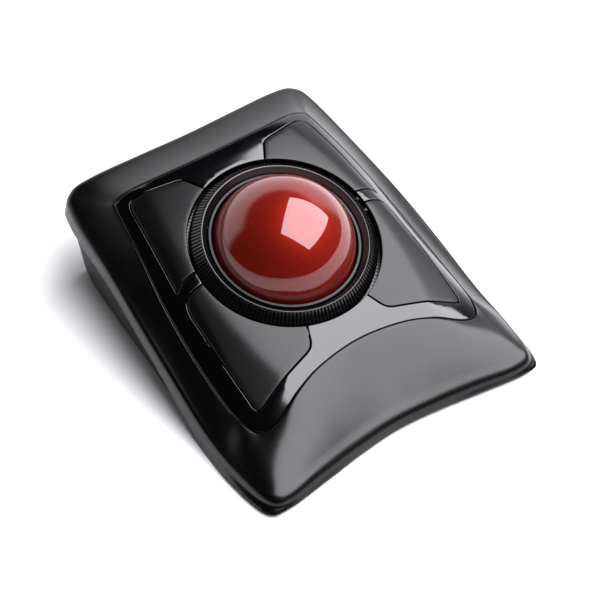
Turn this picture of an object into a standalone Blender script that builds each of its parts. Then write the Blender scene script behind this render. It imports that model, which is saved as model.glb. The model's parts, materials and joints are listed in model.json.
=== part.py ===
"""Wireless desktop trackball: sloping case, four buttons round a knurled scroll ring and a large ball.

Sizes are in millimetres and are turned into metres where a mesh is made. The part stands on its rubber
feet at Z = 0, +Y points to the back and +X to the right. Outlines are drawn about the ring's centre for the
drawn sizes below, and are stretched to the driving sizes.
"""

import math

import bmesh
import bpy
from mathutils import Matrix, Vector

MM = 0.001

# Driving sizes
BODY_WIDTH = 128.8
BODY_LENGTH = 150.2
BALL_DIAMETER = 55.0
DECK_SLOPE = 0.285
COVER_WALL = 2.0
DECK_THICKNESS = 2.0
BASE_WALL = 2.0
BASE_FLOOR = 1.6
FOOT_DIAMETER = 11.0
FOOT_THICKNESS = 1.7
FOOT_RECESS = 0.8
GROUND_GAP = 1.2
BUTTON_GAP = 0.5
BUTTON_TRAVEL_DEG = 2.0
RING_WIDTH = 6.55
RING_CLEARANCE = 0.3
HOLE_CLEARANCE = 1.1
SOCKET_CLEARANCE = 0.35
CUP_COLLAR = 1.0
CUP_WALL = 2.4
BALL_SINK = 6.4
BEARING_DIAMETER = 2.0
CELL_DIAMETER = 14.2
CELL_LENGTH = 50.5
CELL_PITCH = CELL_DIAMETER + 0.7
BOARD = 1.2
GAP = 0.3
SLOTS = 24

# Sizes that follow from them
BALL_R = BALL_DIAMETER / 2
CUP_IN = BALL_R + SOCKET_CLEARANCE
COLLAR_R = CUP_IN + CUP_COLLAR
CUP_OUT = CUP_IN + CUP_WALL
RING_IN = COLLAR_R + RING_CLEARANCE
RING_R = RING_IN + RING_WIDTH
HOLE_R = RING_R + HOLE_CLEARANCE
TILT = math.atan(DECK_SLOPE)
FLOOR_TOP = GROUND_GAP + BASE_FLOOR
CUP_STAND = 6.55
BALL_Z = BALL_R + CUP_STAND - 0.27
RING_Z = BALL_Z + BALL_SINK * math.cos(TILT)
BACK = 71.0
FRONT = BODY_LENGTH - BACK
RING_Y = (FRONT - BACK) / 2

# The sizes that the outlines are drawn for
DRAWN_HOLE = 36.8
DRAWN_HALF_WIDTH = 64.4
DRAWN_BACK = 71.0
DRAWN_FRONT = 79.2
DRAWN_RING_Z = 40.0

# Outlines from the back centre to the front centre, right half: x, y from the ring's centre, then
# the drop below the deck surface (BEZEL) or the height above the table (the others).
BEZEL = [
    (0, 46.5, 0.4), (20, 47.2, 0.4), (36, 49.3, 0.4), (43.0, 49.4, 0.6), (45.0, 46.0, 0.8),
    (47.9, 26, 2.3), (50.9, 5.2, 4.6), (52.5, -15.7, 4.9), (53.1, -36.6, 3.2), (52.1, -48, 0.9),
    (48.8, -54.2, 0.5), (42, -55.2, 0.4), (31, -51.5, 0.6), (18, -47.8, 0.5), (0, -46, 0.5),
]
RIM = [
    (0, 65.8, 44.0), (22, 67.0, 43.3), (42, 69.0, 41.3), (51.4, 68.7, 38.9), (55.4, 61, 36.4),
    (57.8, 31, 30.5), (59.7, 8, 24.6), (60.9, -14, 17.8), (61.8, -38, 9.6), (61.6, -58, 6.8),
    (59.0, -73.6, 6.2), (51.8, -76.9, 6.0), (34, -74.4, 6.2), (18, -72.4, 6.4), (0, -71, 6.4),
]
SKIRT = [
    (0, 67.2, 36.0), (22, 68.3, 35.4), (43.2, 70.4, 33.8), (53.4, 70.2, 31.2), (57.4, 61.5, 28.6),
    (59.3, 31, 22.8), (61.1, 8, 16.8), (62.5, -14, 9.6), (64.0, -38, 1.6), (64.4, -58, 1.5),
    (61.6, -76, 1.5), (54.2, -79.2, 1.5), (35, -76.8, 1.5), (18, -74.3, 1.5), (0, -72.9, 1.5),
]
BASE_FOOT = [
    (0, 62.4), (22, 63), (44, 63.6), (51.6, 62.4), (54.4, 54.5), (56.6, 32), (58.4, 8), (60.0, -14),
    (61.2, -38), (61.2, -58), (58.5, -72), (52, -75.2), (34, -73.2), (18, -71), (0, -69.6),
]
BASE_TOP = [
    (0, 65.2, 35.4), (22, 66.3, 34.8), (42.4, 68.4, 33.2), (51.8, 68.1, 30.6), (55.6, 60.6, 28.0),
    (57.7, 31, 22.2), (59.3, 8, 16.2), (60.0, -14, 8.9), (60.3, -38, 3.8), (60.0, -58, 3.6),
    (57.5, -71.8, 3.6), (51.0, -74.8, 3.6), (34, -72.3, 3.6), (18, -70.3, 3.6), (0, -69.0, 3.6),
]

# Button outlines, right half, from the ring hole outwards and back to it
BACK_BUTTON = [
    (11.5, 30.5), (14.4, 34.8), (17.2, 39.4), (18.4, 41.0), (20.8, 42.0), (29, 43.6), (37.6, 45.3),
    (39.9, 44.9), (41.1, 42.6), (43.6, 24), (45.4, 8), (45.9, 3.6), (42.2, 5.2), (36.7, 5.4), (30, 5.4),
]
FRONT_BUTTON = [
    (30, 0.6), (36.2, 0.6), (42.0, 0.4), (45.2, -1.2), (46.4, -4.6), (46.9, -20), (46.9, -34),
    (46.6, -46.6), (45.6, -48.6), (43.2, -48.4), (19.0, -41.6), (16.8, -40.3), (15.6, -38.4),
    (13.2, -32.7), (10.9, -28.2),
]

# Colours: base colour, roughness, metallic
COLOURS = {
    "satin_charcoal": ((0.028, 0.028, 0.031), 0.42, 0.0),
    "gloss_black": ((0.012, 0.012, 0.014), 0.12, 0.0),
    "button_black": ((0.018, 0.018, 0.020), 0.34, 0.0),
    "ring_black": ((0.014, 0.014, 0.016), 0.38, 0.0),
    "ball_red": ((0.42, 0.012, 0.018), 0.06, 0.0),
    "inner_black": ((0.02, 0.02, 0.022), 0.5, 0.0),
    "base_black": ((0.022, 0.022, 0.024), 0.5, 0.0),
    "rubber": ((0.03, 0.03, 0.03), 0.8, 0.0),
    "board_green": ((0.03, 0.16, 0.07), 0.5, 0.0),
    "steel": ((0.62, 0.62, 0.64), 0.3, 1.0),
    "ruby": ((0.55, 0.05, 0.10), 0.1, 0.0),
    "clear_lens": ((0.75, 0.8, 0.82), 0.05, 0.0),
    "chip_black": ((0.03, 0.03, 0.035), 0.45, 0.0),
    "cell_wrap": ((0.10, 0.11, 0.13), 0.3, 0.2),
    "spring_nickel": ((0.7, 0.68, 0.62), 0.25, 1.0),
    "white_plastic": ((0.75, 0.75, 0.73), 0.45, 0.0),
}


def clear_scene():
    for thing in list(bpy.data.objects):
        bpy.data.objects.remove(thing, do_unlink=True)


# Where things are -------------------------------------------------------------------------------------


def stretch(value, edge, drawn_edge):
    """A drawn distance from the ring's centre, moved so that the hole and the outer edge land in place."""
    size = abs(value)
    if size <= DRAWN_HOLE:
        size *= HOLE_R / DRAWN_HOLE
    else:
        size = HOLE_R + (size - DRAWN_HOLE) * (edge - HOLE_R) / (drawn_edge - DRAWN_HOLE)
    return math.copysign(size, value)


def plan(x, y):
    """A drawn point at the driving sizes, about the ring's centre."""
    across = stretch(x, BODY_WIDTH / 2, DRAWN_HALF_WIDTH)
    if y >= 0:
        return across, stretch(y, BACK, DRAWN_BACK)
    return across, stretch(y, FRONT, DRAWN_FRONT)


def softly_over(value, rounding=2.0):
    """The amount by which a value is over zero, with the corner rounded off."""
    return (value + math.hypot(value, rounding)) / 2


def deck_height(x, y):
    """Height of the deck's top above the ring's centre. It falls to the front, rounds over at the back,
    is crowned sideways, and falls away more steeply outside a crease that runs down each side."""
    crease = HOLE_R + 1.7 - 4.0 * (y / DRAWN_HOLE) ** 2
    fall = DECK_SLOPE * y - max(y, 0.0) ** 2 / 600
    crown = x * x / 520 + 0.28 * softly_over(abs(x) - crease)
    return fall - crown


def heights(drawn):
    """Drawn heights above the table, kept in proportion to the height of the ring's centre."""
    return drawn * RING_Z / DRAWN_RING_Z - RING_Z


def closed_loop(keys, samples=2):
    """A smooth closed curve through the right half's points and their mirror images."""
    whole = [Vector(key) for key in keys]
    whole += [Vector((-key[0], key[1], key[2])) for key in reversed(keys[1:-1])]
    count = len(whole)
    curve = []
    for i in range(count):
        before, start, end, after = (whole[(i + k) % count] for k in (-1, 0, 1, 2))
        for step in range(samples):
            t = step / samples
            curve.append(
                0.5 * (
                    2 * start
                    + (end - before) * t
                    + (2 * before - 5 * start + 4 * end - after) * t * t
                    + (3 * start - before - 3 * end + after) * t ** 3
                )
            )
    return curve


def bezel_loop():
    keys = []
    for x, y, drop in BEZEL:
        across, along = plan(x, y)
        keys.append((across, along, deck_height(across, along) - drop))
    return closed_loop(keys)


def outline_loop(points):
    keys = []
    for x, y, height in points:
        keys.append((*plan(x, y), heights(height)))
    return closed_loop(keys)


def inset(loop, distance, drop=0.0):
    """The loop moved inwards in plan by a distance, and down by a drop."""
    moved = []
    for i, point in enumerate(loop):
        along = loop[(i + 1) % len(loop)] - loop[i - 1]
        inwards = Vector((along.y, -along.x, 0)).normalized()
        if inwards.x * point.x + inwards.y * (point.y + 5) > 0:
            inwards.negate()
        moved.append(point + inwards * distance - Vector((0, 0, drop)))
    return moved


def between(first, second, share, sag=0.0):
    """A loop part of the way between two others, hanging a little below the straight line."""
    hang = Vector((0, 0, sag * 4 * share * (1 - share)))
    return [a.lerp(b, share) - hang for a, b in zip(first, second)]


# Shapes: each is a pair of a vertex list and a face list, in millimetres ----------------------------------


def loft(loops, closed=False):
    """Bridges loops of equal length. An open loft is capped at both ends."""
    count = len(loops[0])
    verts = [point for loop in loops for point in loop]
    faces = []
    pairs = len(loops) if closed else len(loops) - 1
    for k in range(pairs):
        low, high = k * count, ((k + 1) % len(loops)) * count
        for i in range(count):
            j = (i + 1) % count
            faces.append((low + i, low + j, high + j, high + i))
    if not closed:
        faces.append(tuple(range(count)))
        faces.append(tuple((len(loops) - 1) * count + i for i in range(count)))
    return verts, faces


def turned(profile, steps, closed=True):
    """A profile of (radius, height) points turned round Z. A closed one runs round the solid's section;
    an open one has caps."""
    loops = []
    for radius, height in profile:
        loop = []
        for i in range(steps):
            angle = 2 * math.pi * i / steps
            loop.append(Vector((radius * math.cos(angle), radius * math.sin(angle), height)))
        loops.append(loop)
    return loft(loops, closed)


def box(size, centre=(0, 0, 0)):
    corners = []
    for z in (-0.5, 0.5):
        for x, y in ((-0.5, -0.5), (0.5, -0.5), (0.5, 0.5), (-0.5, 0.5)):
            corners.append(Vector((x * size[0], y * size[1], z * size[2])) + Vector(centre))
    return loft([corners[:4], corners[4:]])


def rod(radius, low, high, centre=(0, 0), steps=16):
    verts, faces = turned([(radius, low), (radius, high)], steps, closed=False)
    return [point + Vector((*centre, 0)) for point in verts], faces


def prism(outline, low, high):
    return loft([[Vector((x, y, z)) for x, y in outline] for z in (low, high)])


def placed(shape, matrix):
    verts, faces = shape
    return [matrix @ point for point in verts], faces


def combined(*shapes):
    verts, faces = [], []
    for more_verts, more_faces in shapes:
        start = len(verts)
        verts = verts + list(more_verts)
        faces = faces + [tuple(start + i for i in face) for face in more_faces]
    return verts, faces


def arc(centre, radius, start_deg, end_deg, steps):
    """Points of a (radius, height) profile along an arc."""
    points = []
    for i in range(steps + 1):
        angle = math.radians(start_deg + (end_deg - start_deg) * i / steps)
        points.append((centre[0] + radius * math.cos(angle), centre[1] + radius * math.sin(angle)))
    return points


# Objects ------------------------------------------------------------------------------------------------


def material(name):
    made = bpy.data.materials.get(name)
    if made:
        return made
    colour, roughness, metallic = COLOURS[name]
    made = bpy.data.materials.new(name)
    made.use_nodes = True
    shader = made.node_tree.nodes["Principled BSDF"]
    shader.inputs["Base Color"].default_value = (*colour, 1)
    shader.inputs["Roughness"].default_value = roughness
    shader.inputs["Metallic"].default_value = metallic
    return made


def empty(name, matrix, parent=None):
    thing = bpy.data.objects.new(name, None)
    bpy.context.scene.collection.objects.link(thing)
    thing.parent = parent
    thing.matrix_world = matrix
    return thing


def solid(name, shape, colour, parent=None, local=None):
    """An object with this shape, drawn in its parent's frame, or in a frame placed within that one."""
    verts, faces = shape
    mesh = bpy.data.meshes.new(name)
    mesh.from_pydata([tuple(point * MM) for point in verts], [], faces)
    made = bmesh.new()
    made.from_mesh(mesh)
    bmesh.ops.recalc_face_normals(made, faces=made.faces)
    made.to_mesh(mesh)
    made.free()
    thing = bpy.data.objects.new(name, mesh)
    bpy.context.scene.collection.objects.link(thing)
    thing.parent = parent
    if local is not None:
        matrix = local.copy()
        matrix.translation = matrix.translation * MM
        thing.matrix_local = matrix
    if colour:
        mesh.materials.append(material(colour))
        mesh.shade_smooth()
        mesh.set_sharp_from_angle(angle=math.radians(35))
    return thing


def shaped(thing, operation, name, shape, local=None):
    """Cuts a shape from an object, or joins it on, by a Boolean modifier with a hidden helper."""
    helper = solid(name, shape, None, thing.parent, local)
    helper.hide_render = True
    helper.display_type = "WIRE"
    modifier = thing.modifiers.new(name, "BOOLEAN")
    modifier.operation = operation
    modifier.solver = "EXACT"
    modifier.object = helper
    return helper


# The case -----------------------------------------------------------------------------------------------

LEDGE = 2.0
SKIRT_ROUNDING = 1.3
RIM_SAG = 0.8
POST_R = 3.2
SCREW_R = 1.1
SCREW_HEAD_R = 2.4
SCREW_HEAD = 1.6
SCREW_SPLIT = 0.4
SCREW_BITE = 5.0


def rim_point(key, share):
    """A point of the rim between the bezel line and the outer edge, at one drawn outline point."""
    bezel, rim = bezel_loop()[2 * key], outline_loop(RIM)[2 * key]
    return bezel.lerp(rim, share)


def screw_places():
    """Right-hand screws: the plan position and the height of the rim's top above them."""
    back = rim_point(4, 0.1)
    front = rim_point(9, 0.15)
    return [
        ("back", Vector((back.x - 1.5, back.y - 0.5, back.z - 1.6))),
        ("front", Vector((front.x - 1.0, front.y, front.z - 1.4))),
    ]


def boss_top(point):
    return (point.z + RING_Z) * 0.5 - RING_Z


def make_top_cover(centre):
    bezel, rim, skirt = bezel_loop(), outline_loop(RIM), outline_loop(SKIRT)
    seat = DECK_THICKNESS + GAP
    under_rim = inset(rim, COVER_WALL, COVER_WALL)
    low_edge = inset(skirt, COVER_WALL)
    under_bezel = inset(bezel, -0.6, seat + COVER_WALL)
    shell = loft(
        [
            inset(bezel, LEDGE, seat),
            inset(bezel, 0, seat),
            bezel,
            between(bezel, rim, 0.3, RIM_SAG),
            between(bezel, rim, 0.7, RIM_SAG),
            rim,
            inset(rim, -0.7, 0.5),
            inset(rim, -SKIRT_ROUNDING, 2.0),
            skirt,
            low_edge,
            under_rim,
            between(under_rim, under_bezel, 0.5, 0.4),
            under_bezel,
            inset(bezel, LEDGE, seat + 1.2),
        ],
        closed=True,
    )
    cover = solid("top_cover", shell, "satin_charcoal", centre)
    posts = []
    bores = []
    for _, point in screw_places():
        for side in (1, -1):
            spot = (side * point.x, point.y)
            low = boss_top(point)
            posts.append(rod(POST_R - 0.6, low + SCREW_SPLIT, point.z - 1.6, spot, 12))
            bores.append(rod(SCREW_R + 0.15, low - 1, low + SCREW_SPLIT + SCREW_BITE, spot, 12))
    shaped(cover, "UNION", "cover_posts", combined(*posts))
    shaped(cover, "DIFFERENCE", "cover_bores", combined(*bores))
    return cover


def make_base(centre):
    foot, top = [], outline_loop(BASE_TOP)
    for x, y in BASE_FOOT:
        foot.append((*plan(x, y), GROUND_GAP - RING_Z))
    foot = closed_loop(foot)
    edge = inset(foot, 0.8)
    middle = between(foot, top, 0.5)
    shell = loft(
        [
            edge,
            inset(foot, 0, -0.8),
            middle,
            top,
            inset(top, BASE_WALL),
            inset(middle, BASE_WALL),
            inset(foot, BASE_WALL + 0.8, -BASE_FLOOR),
        ]
    )
    base = solid("base", shell, "base_black", centre)
    shaped(base, "DIFFERENCE", "base_openings", combined(*base_openings()))
    shaped(base, "UNION", "base_bosses", combined(*base_bosses()))
    shaped(base, "DIFFERENCE", "base_bores", combined(*base_bores()))
    return base


def low(height):
    """A height above the table, in the ring's frame."""
    return height - RING_Z


# The battery bay --------------------------------------------------------------------------------------

CELL_Z = GROUND_GAP + BASE_FLOOR + GAP + CELL_DIAMETER / 2
BALL_CENTRE = Vector((0, BALL_SINK * math.sin(TILT), -BALL_SINK * math.cos(TILT)))
CELL_Y = BALL_CENTRE.y - math.sqrt(
    (CUP_OUT + 1.6 + CELL_DIAMETER / 2) ** 2 - (BALL_Z - CELL_Z) ** 2
)
SPRING_ROOM = 3.4
BAY_X = CELL_LENGTH / 2 + SPRING_ROOM
BAY_BACK = CELL_Y + CELL_DIAMETER / 2 + 0.5
BAY_FRONT = CELL_Y - CELL_PITCH - CELL_DIAMETER / 2 - 0.5
BAY_WALL = 1.4
BAY_HEIGHT = 9.5
DOOR_GAP = 0.4
CONTACT = 0.8

RECEIVER = Vector((14.4, 18.0, 5.6))
RECEIVER_X = 28.0
RECEIVER_Z = 20.0
SLIDER_X, SLIDER_Y, SLIDER_TRAVEL = -26.0, 43.0, 4.0
PAIR_X, PAIR_Y, PAIR_R = -37.0, 36.5, 2.0
FOOT_PLACES = [(40.5, 54.0), (48.0, -63.0)]
FRAME_POSTS = [(44.0, -28.0), (42.0, 20.0)]


def feet_places():
    return [(side * plan(x, y)[0], plan(x, y)[1]) for x, y in FOOT_PLACES for side in (1, -1)]


def base_openings():
    """Door opening, foot recesses, receiver slot, power-switch slot and the pairing button's hole."""
    bay_middle = (BAY_BACK + BAY_FRONT) / 2
    cuts = [
        box(
            (2 * BAY_X, BAY_BACK - BAY_FRONT, 3 * BASE_FLOOR),
            (0, bay_middle, low(GROUND_GAP + BASE_FLOOR / 2)),
        ),
        box(
            (RECEIVER.x + 2 * GAP, 14, RECEIVER.z + 2 * GAP),
            (RECEIVER_X, BACK - 3, low(RECEIVER_Z)),
        ),
        box(
            (4 + SLIDER_TRAVEL + 2 * GAP, 3.2 + 2 * GAP, 3 * BASE_FLOOR),
            (SLIDER_X, SLIDER_Y, low(GROUND_GAP + BASE_FLOOR / 2)),
        ),
        rod(PAIR_R + GAP, low(-1), low(FLOOR_TOP + 1), (PAIR_X, PAIR_Y)),
    ]
    for spot in feet_places():
        cuts.append(rod(FOOT_DIAMETER / 2 + GAP, low(-1), low(GROUND_GAP + FOOT_RECESS), spot, 24))
    return cuts


def base_bosses():
    """Screw bosses, the battery bay's walls and the posts that carry the inner frame."""
    adds = []
    for _, point in screw_places():
        for side in (1, -1):
            adds.append(
                rod(POST_R, low(FLOOR_TOP - 0.4), boss_top(point), (side * point.x, point.y), 12)
            )
    for x, y in FRAME_POSTS:
        for side in (1, -1):
            top = frame_under(y) - GAP - 3.0 * DECK_SLOPE
            adds.append(rod(2.6, low(FLOOR_TOP - 0.4), top, (side * x, y), 12))
    wall_z = low(FLOOR_TOP + BAY_HEIGHT / 2 - 0.2)
    depth = BAY_BACK - BAY_FRONT + 2 * BAY_WALL
    for side in (1, -1):
        adds.append(
            box(
                (BAY_WALL, depth, BAY_HEIGHT),
                (side * (BAY_X + BAY_WALL / 2), (BAY_BACK + BAY_FRONT) / 2, wall_z),
            )
        )
    return adds


def base_bores():
    """Screw clearance holes with their counterbores from below."""
    cuts = []
    for _, point in screw_places():
        for side in (1, -1):
            shoulder = low(GROUND_GAP + SCREW_HEAD + 0.4)
            profile = [
                (SCREW_HEAD_R + GAP, low(-2)),
                (SCREW_HEAD_R + GAP, shoulder),
                (SCREW_R + GAP, shoulder),
                (SCREW_R + GAP, boss_top(point) + 1),
            ]
            verts, faces = turned(profile, 16, closed=False)
            cuts.append(([vert + Vector((side * point.x, point.y, 0)) for vert in verts], faces))
    return cuts


def make_screws(centre):
    for name, point in screw_places():
        for side, word in ((-1, "left"), (1, "right")):
            spot = (side * point.x, point.y)
            head = low(GROUND_GAP + 0.4)
            tip = boss_top(point) + SCREW_SPLIT + SCREW_BITE - 0.6
            profile = [
                (SCREW_HEAD_R, head),
                (SCREW_HEAD_R, head + SCREW_HEAD - 0.2),
                (SCREW_R, head + SCREW_HEAD - 0.2),
                (SCREW_R, tip - 1.0),
                (SCREW_R * 0.4, tip),
            ]
            verts, faces = turned(profile, 12, closed=False)
            verts = [vert + Vector((*spot, 0)) for vert in verts]
            screw = solid(f"screw_{name}_{word}", (verts, faces), "steel", centre)
            recess = box((0.7, 2.6, 0.8), (*spot, head))
            recess_across = box((2.6, 0.7, 0.8), (*spot, head))
            shaped(screw, "DIFFERENCE", f"screw_recess_{name}_{word}", recess)
            shaped(screw, "DIFFERENCE", f"screw_recess_across_{name}_{word}", recess_across)


def make_feet(centre):
    names = ["back_right", "back_left", "front_right", "front_left"]
    for name, spot in zip(names, feet_places()):
        profile = [
            (FOOT_DIAMETER / 2 - 0.5, low(0)),
            (FOOT_DIAMETER / 2, low(0.5)),
            (FOOT_DIAMETER / 2, low(GROUND_GAP + FOOT_RECESS - GAP)),
        ]
        verts, faces = turned(profile, 24, closed=False)
        verts = [vert + Vector((*spot, 0)) for vert in verts]
        solid(f"foot_{name}", (verts, faces), "rubber", centre)


def make_battery_bay(centre):
    depth = BAY_BACK - BAY_FRONT - 2 * DOOR_GAP
    width = 2 * BAY_X - 2 * DOOR_GAP
    hinge = empty(
        "battery_door_hinge",
        Matrix.Translation((0, (RING_Y + BAY_FRONT + DOOR_GAP) * MM, GROUND_GAP * MM)),
        centre,
    )
    door = solid(
        "battery_door",
        box((width, depth, BASE_FLOOR), (0, depth / 2, BASE_FLOOR / 2)),
        "base_black",
        hinge,
    )
    shaped(
        door,
        "DIFFERENCE",
        "door_thumb_notch",
        placed(rod(5.0, -6, 6), Matrix.Translation((0, depth - 4.0, -4.4)) @ Matrix.Rotation(math.pi / 2, 4, "Y")),
    )
    for name, y, turn in (("back", CELL_Y, 1), ("front", CELL_Y - CELL_PITCH, -1)):
        radius = CELL_DIAMETER / 2
        half = CELL_LENGTH / 2
        profile = [
            (radius - 0.6, -half),
            (radius, -half + 0.6),
            (radius, half - 1.8),
            (radius - 0.8, half - 1.2),
            (2.6, half - 1.2),
            (2.6, half),
        ]
        lying = Matrix.Translation((turn * 1.0, y, low(CELL_Z)))
        lying = lying @ Matrix.Rotation(turn * math.pi / 2, 4, "Y")
        solid(f"cell_{name}", placed(turned(profile, 20, closed=False), lying), "cell_wrap", centre)
        face = turn * (BAY_X - GAP - CONTACT / 2)
        solid(
            f"contact_plate_{name}",
            box((CONTACT, 9, 7), (face, y, low(CELL_Z))),
            "spring_nickel",
            centre,
        )
        make_contact_spring(f"contact_spring_{name}", centre, turn, y)


def make_contact_spring(name, centre, turn, y):
    """A conical contact spring, as a bevelled curve, between the bay's wall and a cell's flat end."""
    cell_end = CELL_LENGTH / 2 - 1.0
    room = BAY_X - cell_end
    wire = 0.35
    curve = bpy.data.curves.new(name, "CURVE")
    curve.dimensions = "3D"
    curve.bevel_depth = wire * MM
    curve.bevel_resolution = 1
    curve.use_fill_caps = True
    turns, per_turn = 2.5, 12
    count = int(turns * per_turn) + 1
    spline = curve.splines.new("POLY")
    spline.points.add(count - 1)
    for i in range(count):
        share = i / (count - 1)
        angle = 2 * math.pi * turns * share
        radius = 4.6 - 2.4 * share
        reach = cell_end + room - GAP - wire - share * (room - 2 * GAP - 2 * wire)
        place = Vector((-turn * reach, y + radius * math.cos(angle), low(CELL_Z) + radius * math.sin(angle)))
        spline.points[i].co = (*(place * MM), 1)
    thing = bpy.data.objects.new(name, curve)
    bpy.context.scene.collection.objects.link(thing)
    thing.parent = centre
    curve.materials.append(material("spring_nickel"))


def make_underside_controls(centre):
    wall_face = BACK - 6.0
    receiver = box((RECEIVER.x, RECEIVER.y, RECEIVER.z), (RECEIVER_X, wall_face - RECEIVER.y / 2, low(RECEIVER_Z)))
    thing = solid("usb_receiver", receiver, "inner_black", centre)
    bevel = thing.modifiers.new("edges", "BEVEL")
    bevel.width = 0.6 * MM
    bevel.segments = 1
    knob = combined(box((4, 3.2, 2.6), (SLIDER_X - SLIDER_TRAVEL / 2, SLIDER_Y, low(GROUND_GAP + 1.1))))
    slider = solid("power_slider", knob, "white_plastic", centre)
    plate = box((13, 5.6, 1.2), (SLIDER_X - SLIDER_TRAVEL / 2, SLIDER_Y, low(FLOOR_TOP + GAP + 0.6)))
    shaped(slider, "UNION", "power_slider_plate", plate)
    profile = [
        (PAIR_R - 0.3, low(GROUND_GAP - 0.4)),
        (PAIR_R, low(GROUND_GAP)),
        (PAIR_R, low(FLOOR_TOP + GAP)),
        (PAIR_R + 1.2, low(FLOOR_TOP + GAP)),
        (PAIR_R + 1.2, low(FLOOR_TOP + GAP + 1.0)),
    ]
    verts, faces = turned(profile, 16, closed=False)
    solid("pairing_button", ([v + Vector((PAIR_X, PAIR_Y, 0)) for v in verts], faces), "white_plastic", centre)
    solid("main_board", box((74, 15, BOARD + 0.4), (0, 47.0, low(8.6))), "board_green", centre)


# The deck and the buttons -------------------------------------------------------------------------------

STRIP = 5.4
HINGE_IN = 1.2
SWITCHES = {"back": (33.0, 25.0), "front": (34.5, -36.0)}
BUTTON_HINGE_X = {"back": 42.6, "front": 45.2}


def hole_point(angle, depth):
    """A point of the ring's hole, at a depth under the deck's top. The hole follows the ring's own axis."""
    across, along = HOLE_R * math.cos(angle), HOLE_R * math.sin(angle)
    rise = 0.0
    for _ in range(6):
        y = along * math.cos(TILT) - rise * math.sin(TILT)
        wanted = deck_height(across, y) - depth
        rise = (wanted - along * math.sin(TILT)) / math.cos(TILT)
    return Vector((across, y, wanted))


def deck_slab():
    """The whole curved deck, from the ring's hole to the bezel line, as one ring-shaped solid."""
    edge = inset(bezel_loop(), GAP)
    angles = [math.atan2(point.y / math.cos(TILT), point.x) for point in edge]
    hole = [hole_point(angle, 0) for angle in angles]
    steps = []
    strip = [a + (b - a).normalized() * min(STRIP, 0.6 * (b - a).length) for a, b in zip(edge, hole)]
    for loop_share in (1 / 3, 2 / 3):
        steps.append([a.lerp(b, loop_share) for a, b in zip(hole, strip)])
    tops = [hole, *steps, strip, [a.lerp(b, 0.5) for a, b in zip(strip, edge)], edge]
    drops = [0, 0, 0, 0, 0.3, 1]
    surface = []
    for loop, share in zip(tops, drops):
        level = []
        for point, end in zip(loop, edge):
            drop = share * (deck_height(end.x, end.y) - end.z)
            level.append(Vector((point.x, point.y, deck_height(point.x, point.y) - drop)))
        surface.append(level)
    under = [[p - Vector((0, 0, DECK_THICKNESS)) for p in level] for level in surface]
    under[0] = [hole_point(angle, DECK_THICKNESS) for angle in angles]
    return loft(surface + under[::-1], closed=True)


def shrunk(outline, distance):
    """A closed outline with every side moved inwards by a distance."""
    area = sum(a[0] * b[1] - b[0] * a[1] for a, b in zip(outline, outline[1:] + outline[:1]))
    turn = 1 if area > 0 else -1
    result = []
    for i, here in enumerate(outline):
        here = Vector(here)
        back = (here - Vector(outline[i - 1])).normalized()
        on = (Vector(outline[(i + 1) % len(outline)]) - here).normalized()
        inwards = [Vector((-way.y, way.x)) * turn for way in (back, on)]
        middle = (inwards[0] + inwards[1]).normalized()
        result.append(here + middle * distance / max(middle.dot(inwards[0]), 0.4))
    return [tuple(point) for point in result]


def button_outline(points, side):
    outline = [plan(x, y) for x, y in points]
    outline = [(side * x, y) for x, y in outline]
    return outline if side > 0 else outline[::-1]


def switch_spot(row, side):
    """Where a button's switch stands, in the ring's own frame."""
    x, y = SWITCHES[row]
    x, y = plan(x, y)
    return side * x, y / math.cos(TILT)


def make_deck(centre, ring):
    bezel = solid("deck_bezel", deck_slab(), "gloss_black", centre)
    for row, outline in (("back", BACK_BUTTON), ("front", FRONT_BUTTON)):
        for side, word in ((-1, "left"), (1, "right")):
            name = f"button_{row}_{word}"
            opening = button_outline(outline, side)
            shaped(bezel, "DIFFERENCE", f"opening_{row}_{word}", prism(opening, -60, 60))
            make_button(name, row, side, opening, centre, ring)
    return bezel


def make_button(name, row, side, opening, centre, ring):
    """A button cap cut from the deck's own curve, with a stem down to its switch. It turns about its
    outer edge, where the hinge's empty stands."""
    hinge_x = stretch(BUTTON_HINGE_X[row], BODY_WIDTH / 2, DRAWN_HALF_WIDTH)
    level = deck_height(hinge_x, 0) - DECK_THICKNESS
    place = Matrix.Translation(Vector((side * hinge_x, 0, level)) * MM)
    hinge = empty(f"{name}_hinge", ring.matrix_world @ place, centre)
    frame = hinge.matrix_world.inverted() @ centre.matrix_world
    frame.translation = frame.translation / MM
    button = solid(name, placed(deck_slab(), frame), "button_black", hinge)
    cap = placed(prism(shrunk(opening, BUTTON_GAP), -60, 60), frame)
    shaped(button, "INTERSECT", f"{name}_cutter", cap)
    x, y = switch_spot(row, side)
    top = deck_height(x, y * math.cos(TILT)) - DECK_SLOPE * y * math.cos(TILT) - 0.8
    into = Matrix.Translation((-side * hinge_x, 0, -level))
    low_end = PLUNGER_TOP + GAP
    stem = placed(rod(1.8, low_end, top, (x, y), 10), into)
    shaped(button, "UNION", f"{name}_stem", stem)


# What is under the deck, drawn in the ring's own frame ----------------------------------------------------

KNURL_DROP = 3.0
FLANGE_TOP = -6.0
FLANGE = 1.4
SKIRT_BOTTOM = -13.0
TRACK_TOP = -9.9
TRACK = 0.7
CUP_FLANGE_TOP = TRACK_TOP - TRACK - 0.3
CUP_SEAT_TOP = -15.0
CUP_SEAT = 1.5
FRAME_TOP = CUP_SEAT_TOP - CUP_SEAT - GAP
FRAME = 1.6
BOARD_TOP = FRAME_TOP + GAP + BOARD
SWITCH_TOP = BOARD_TOP + GAP + 3.4
PLUNGER_TOP = SWITCH_TOP + 1.2
DRAIN_R = 11.0
SENSOR_ANGLE = math.radians(35)
SENSOR_HOLE_R = 3.6


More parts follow.
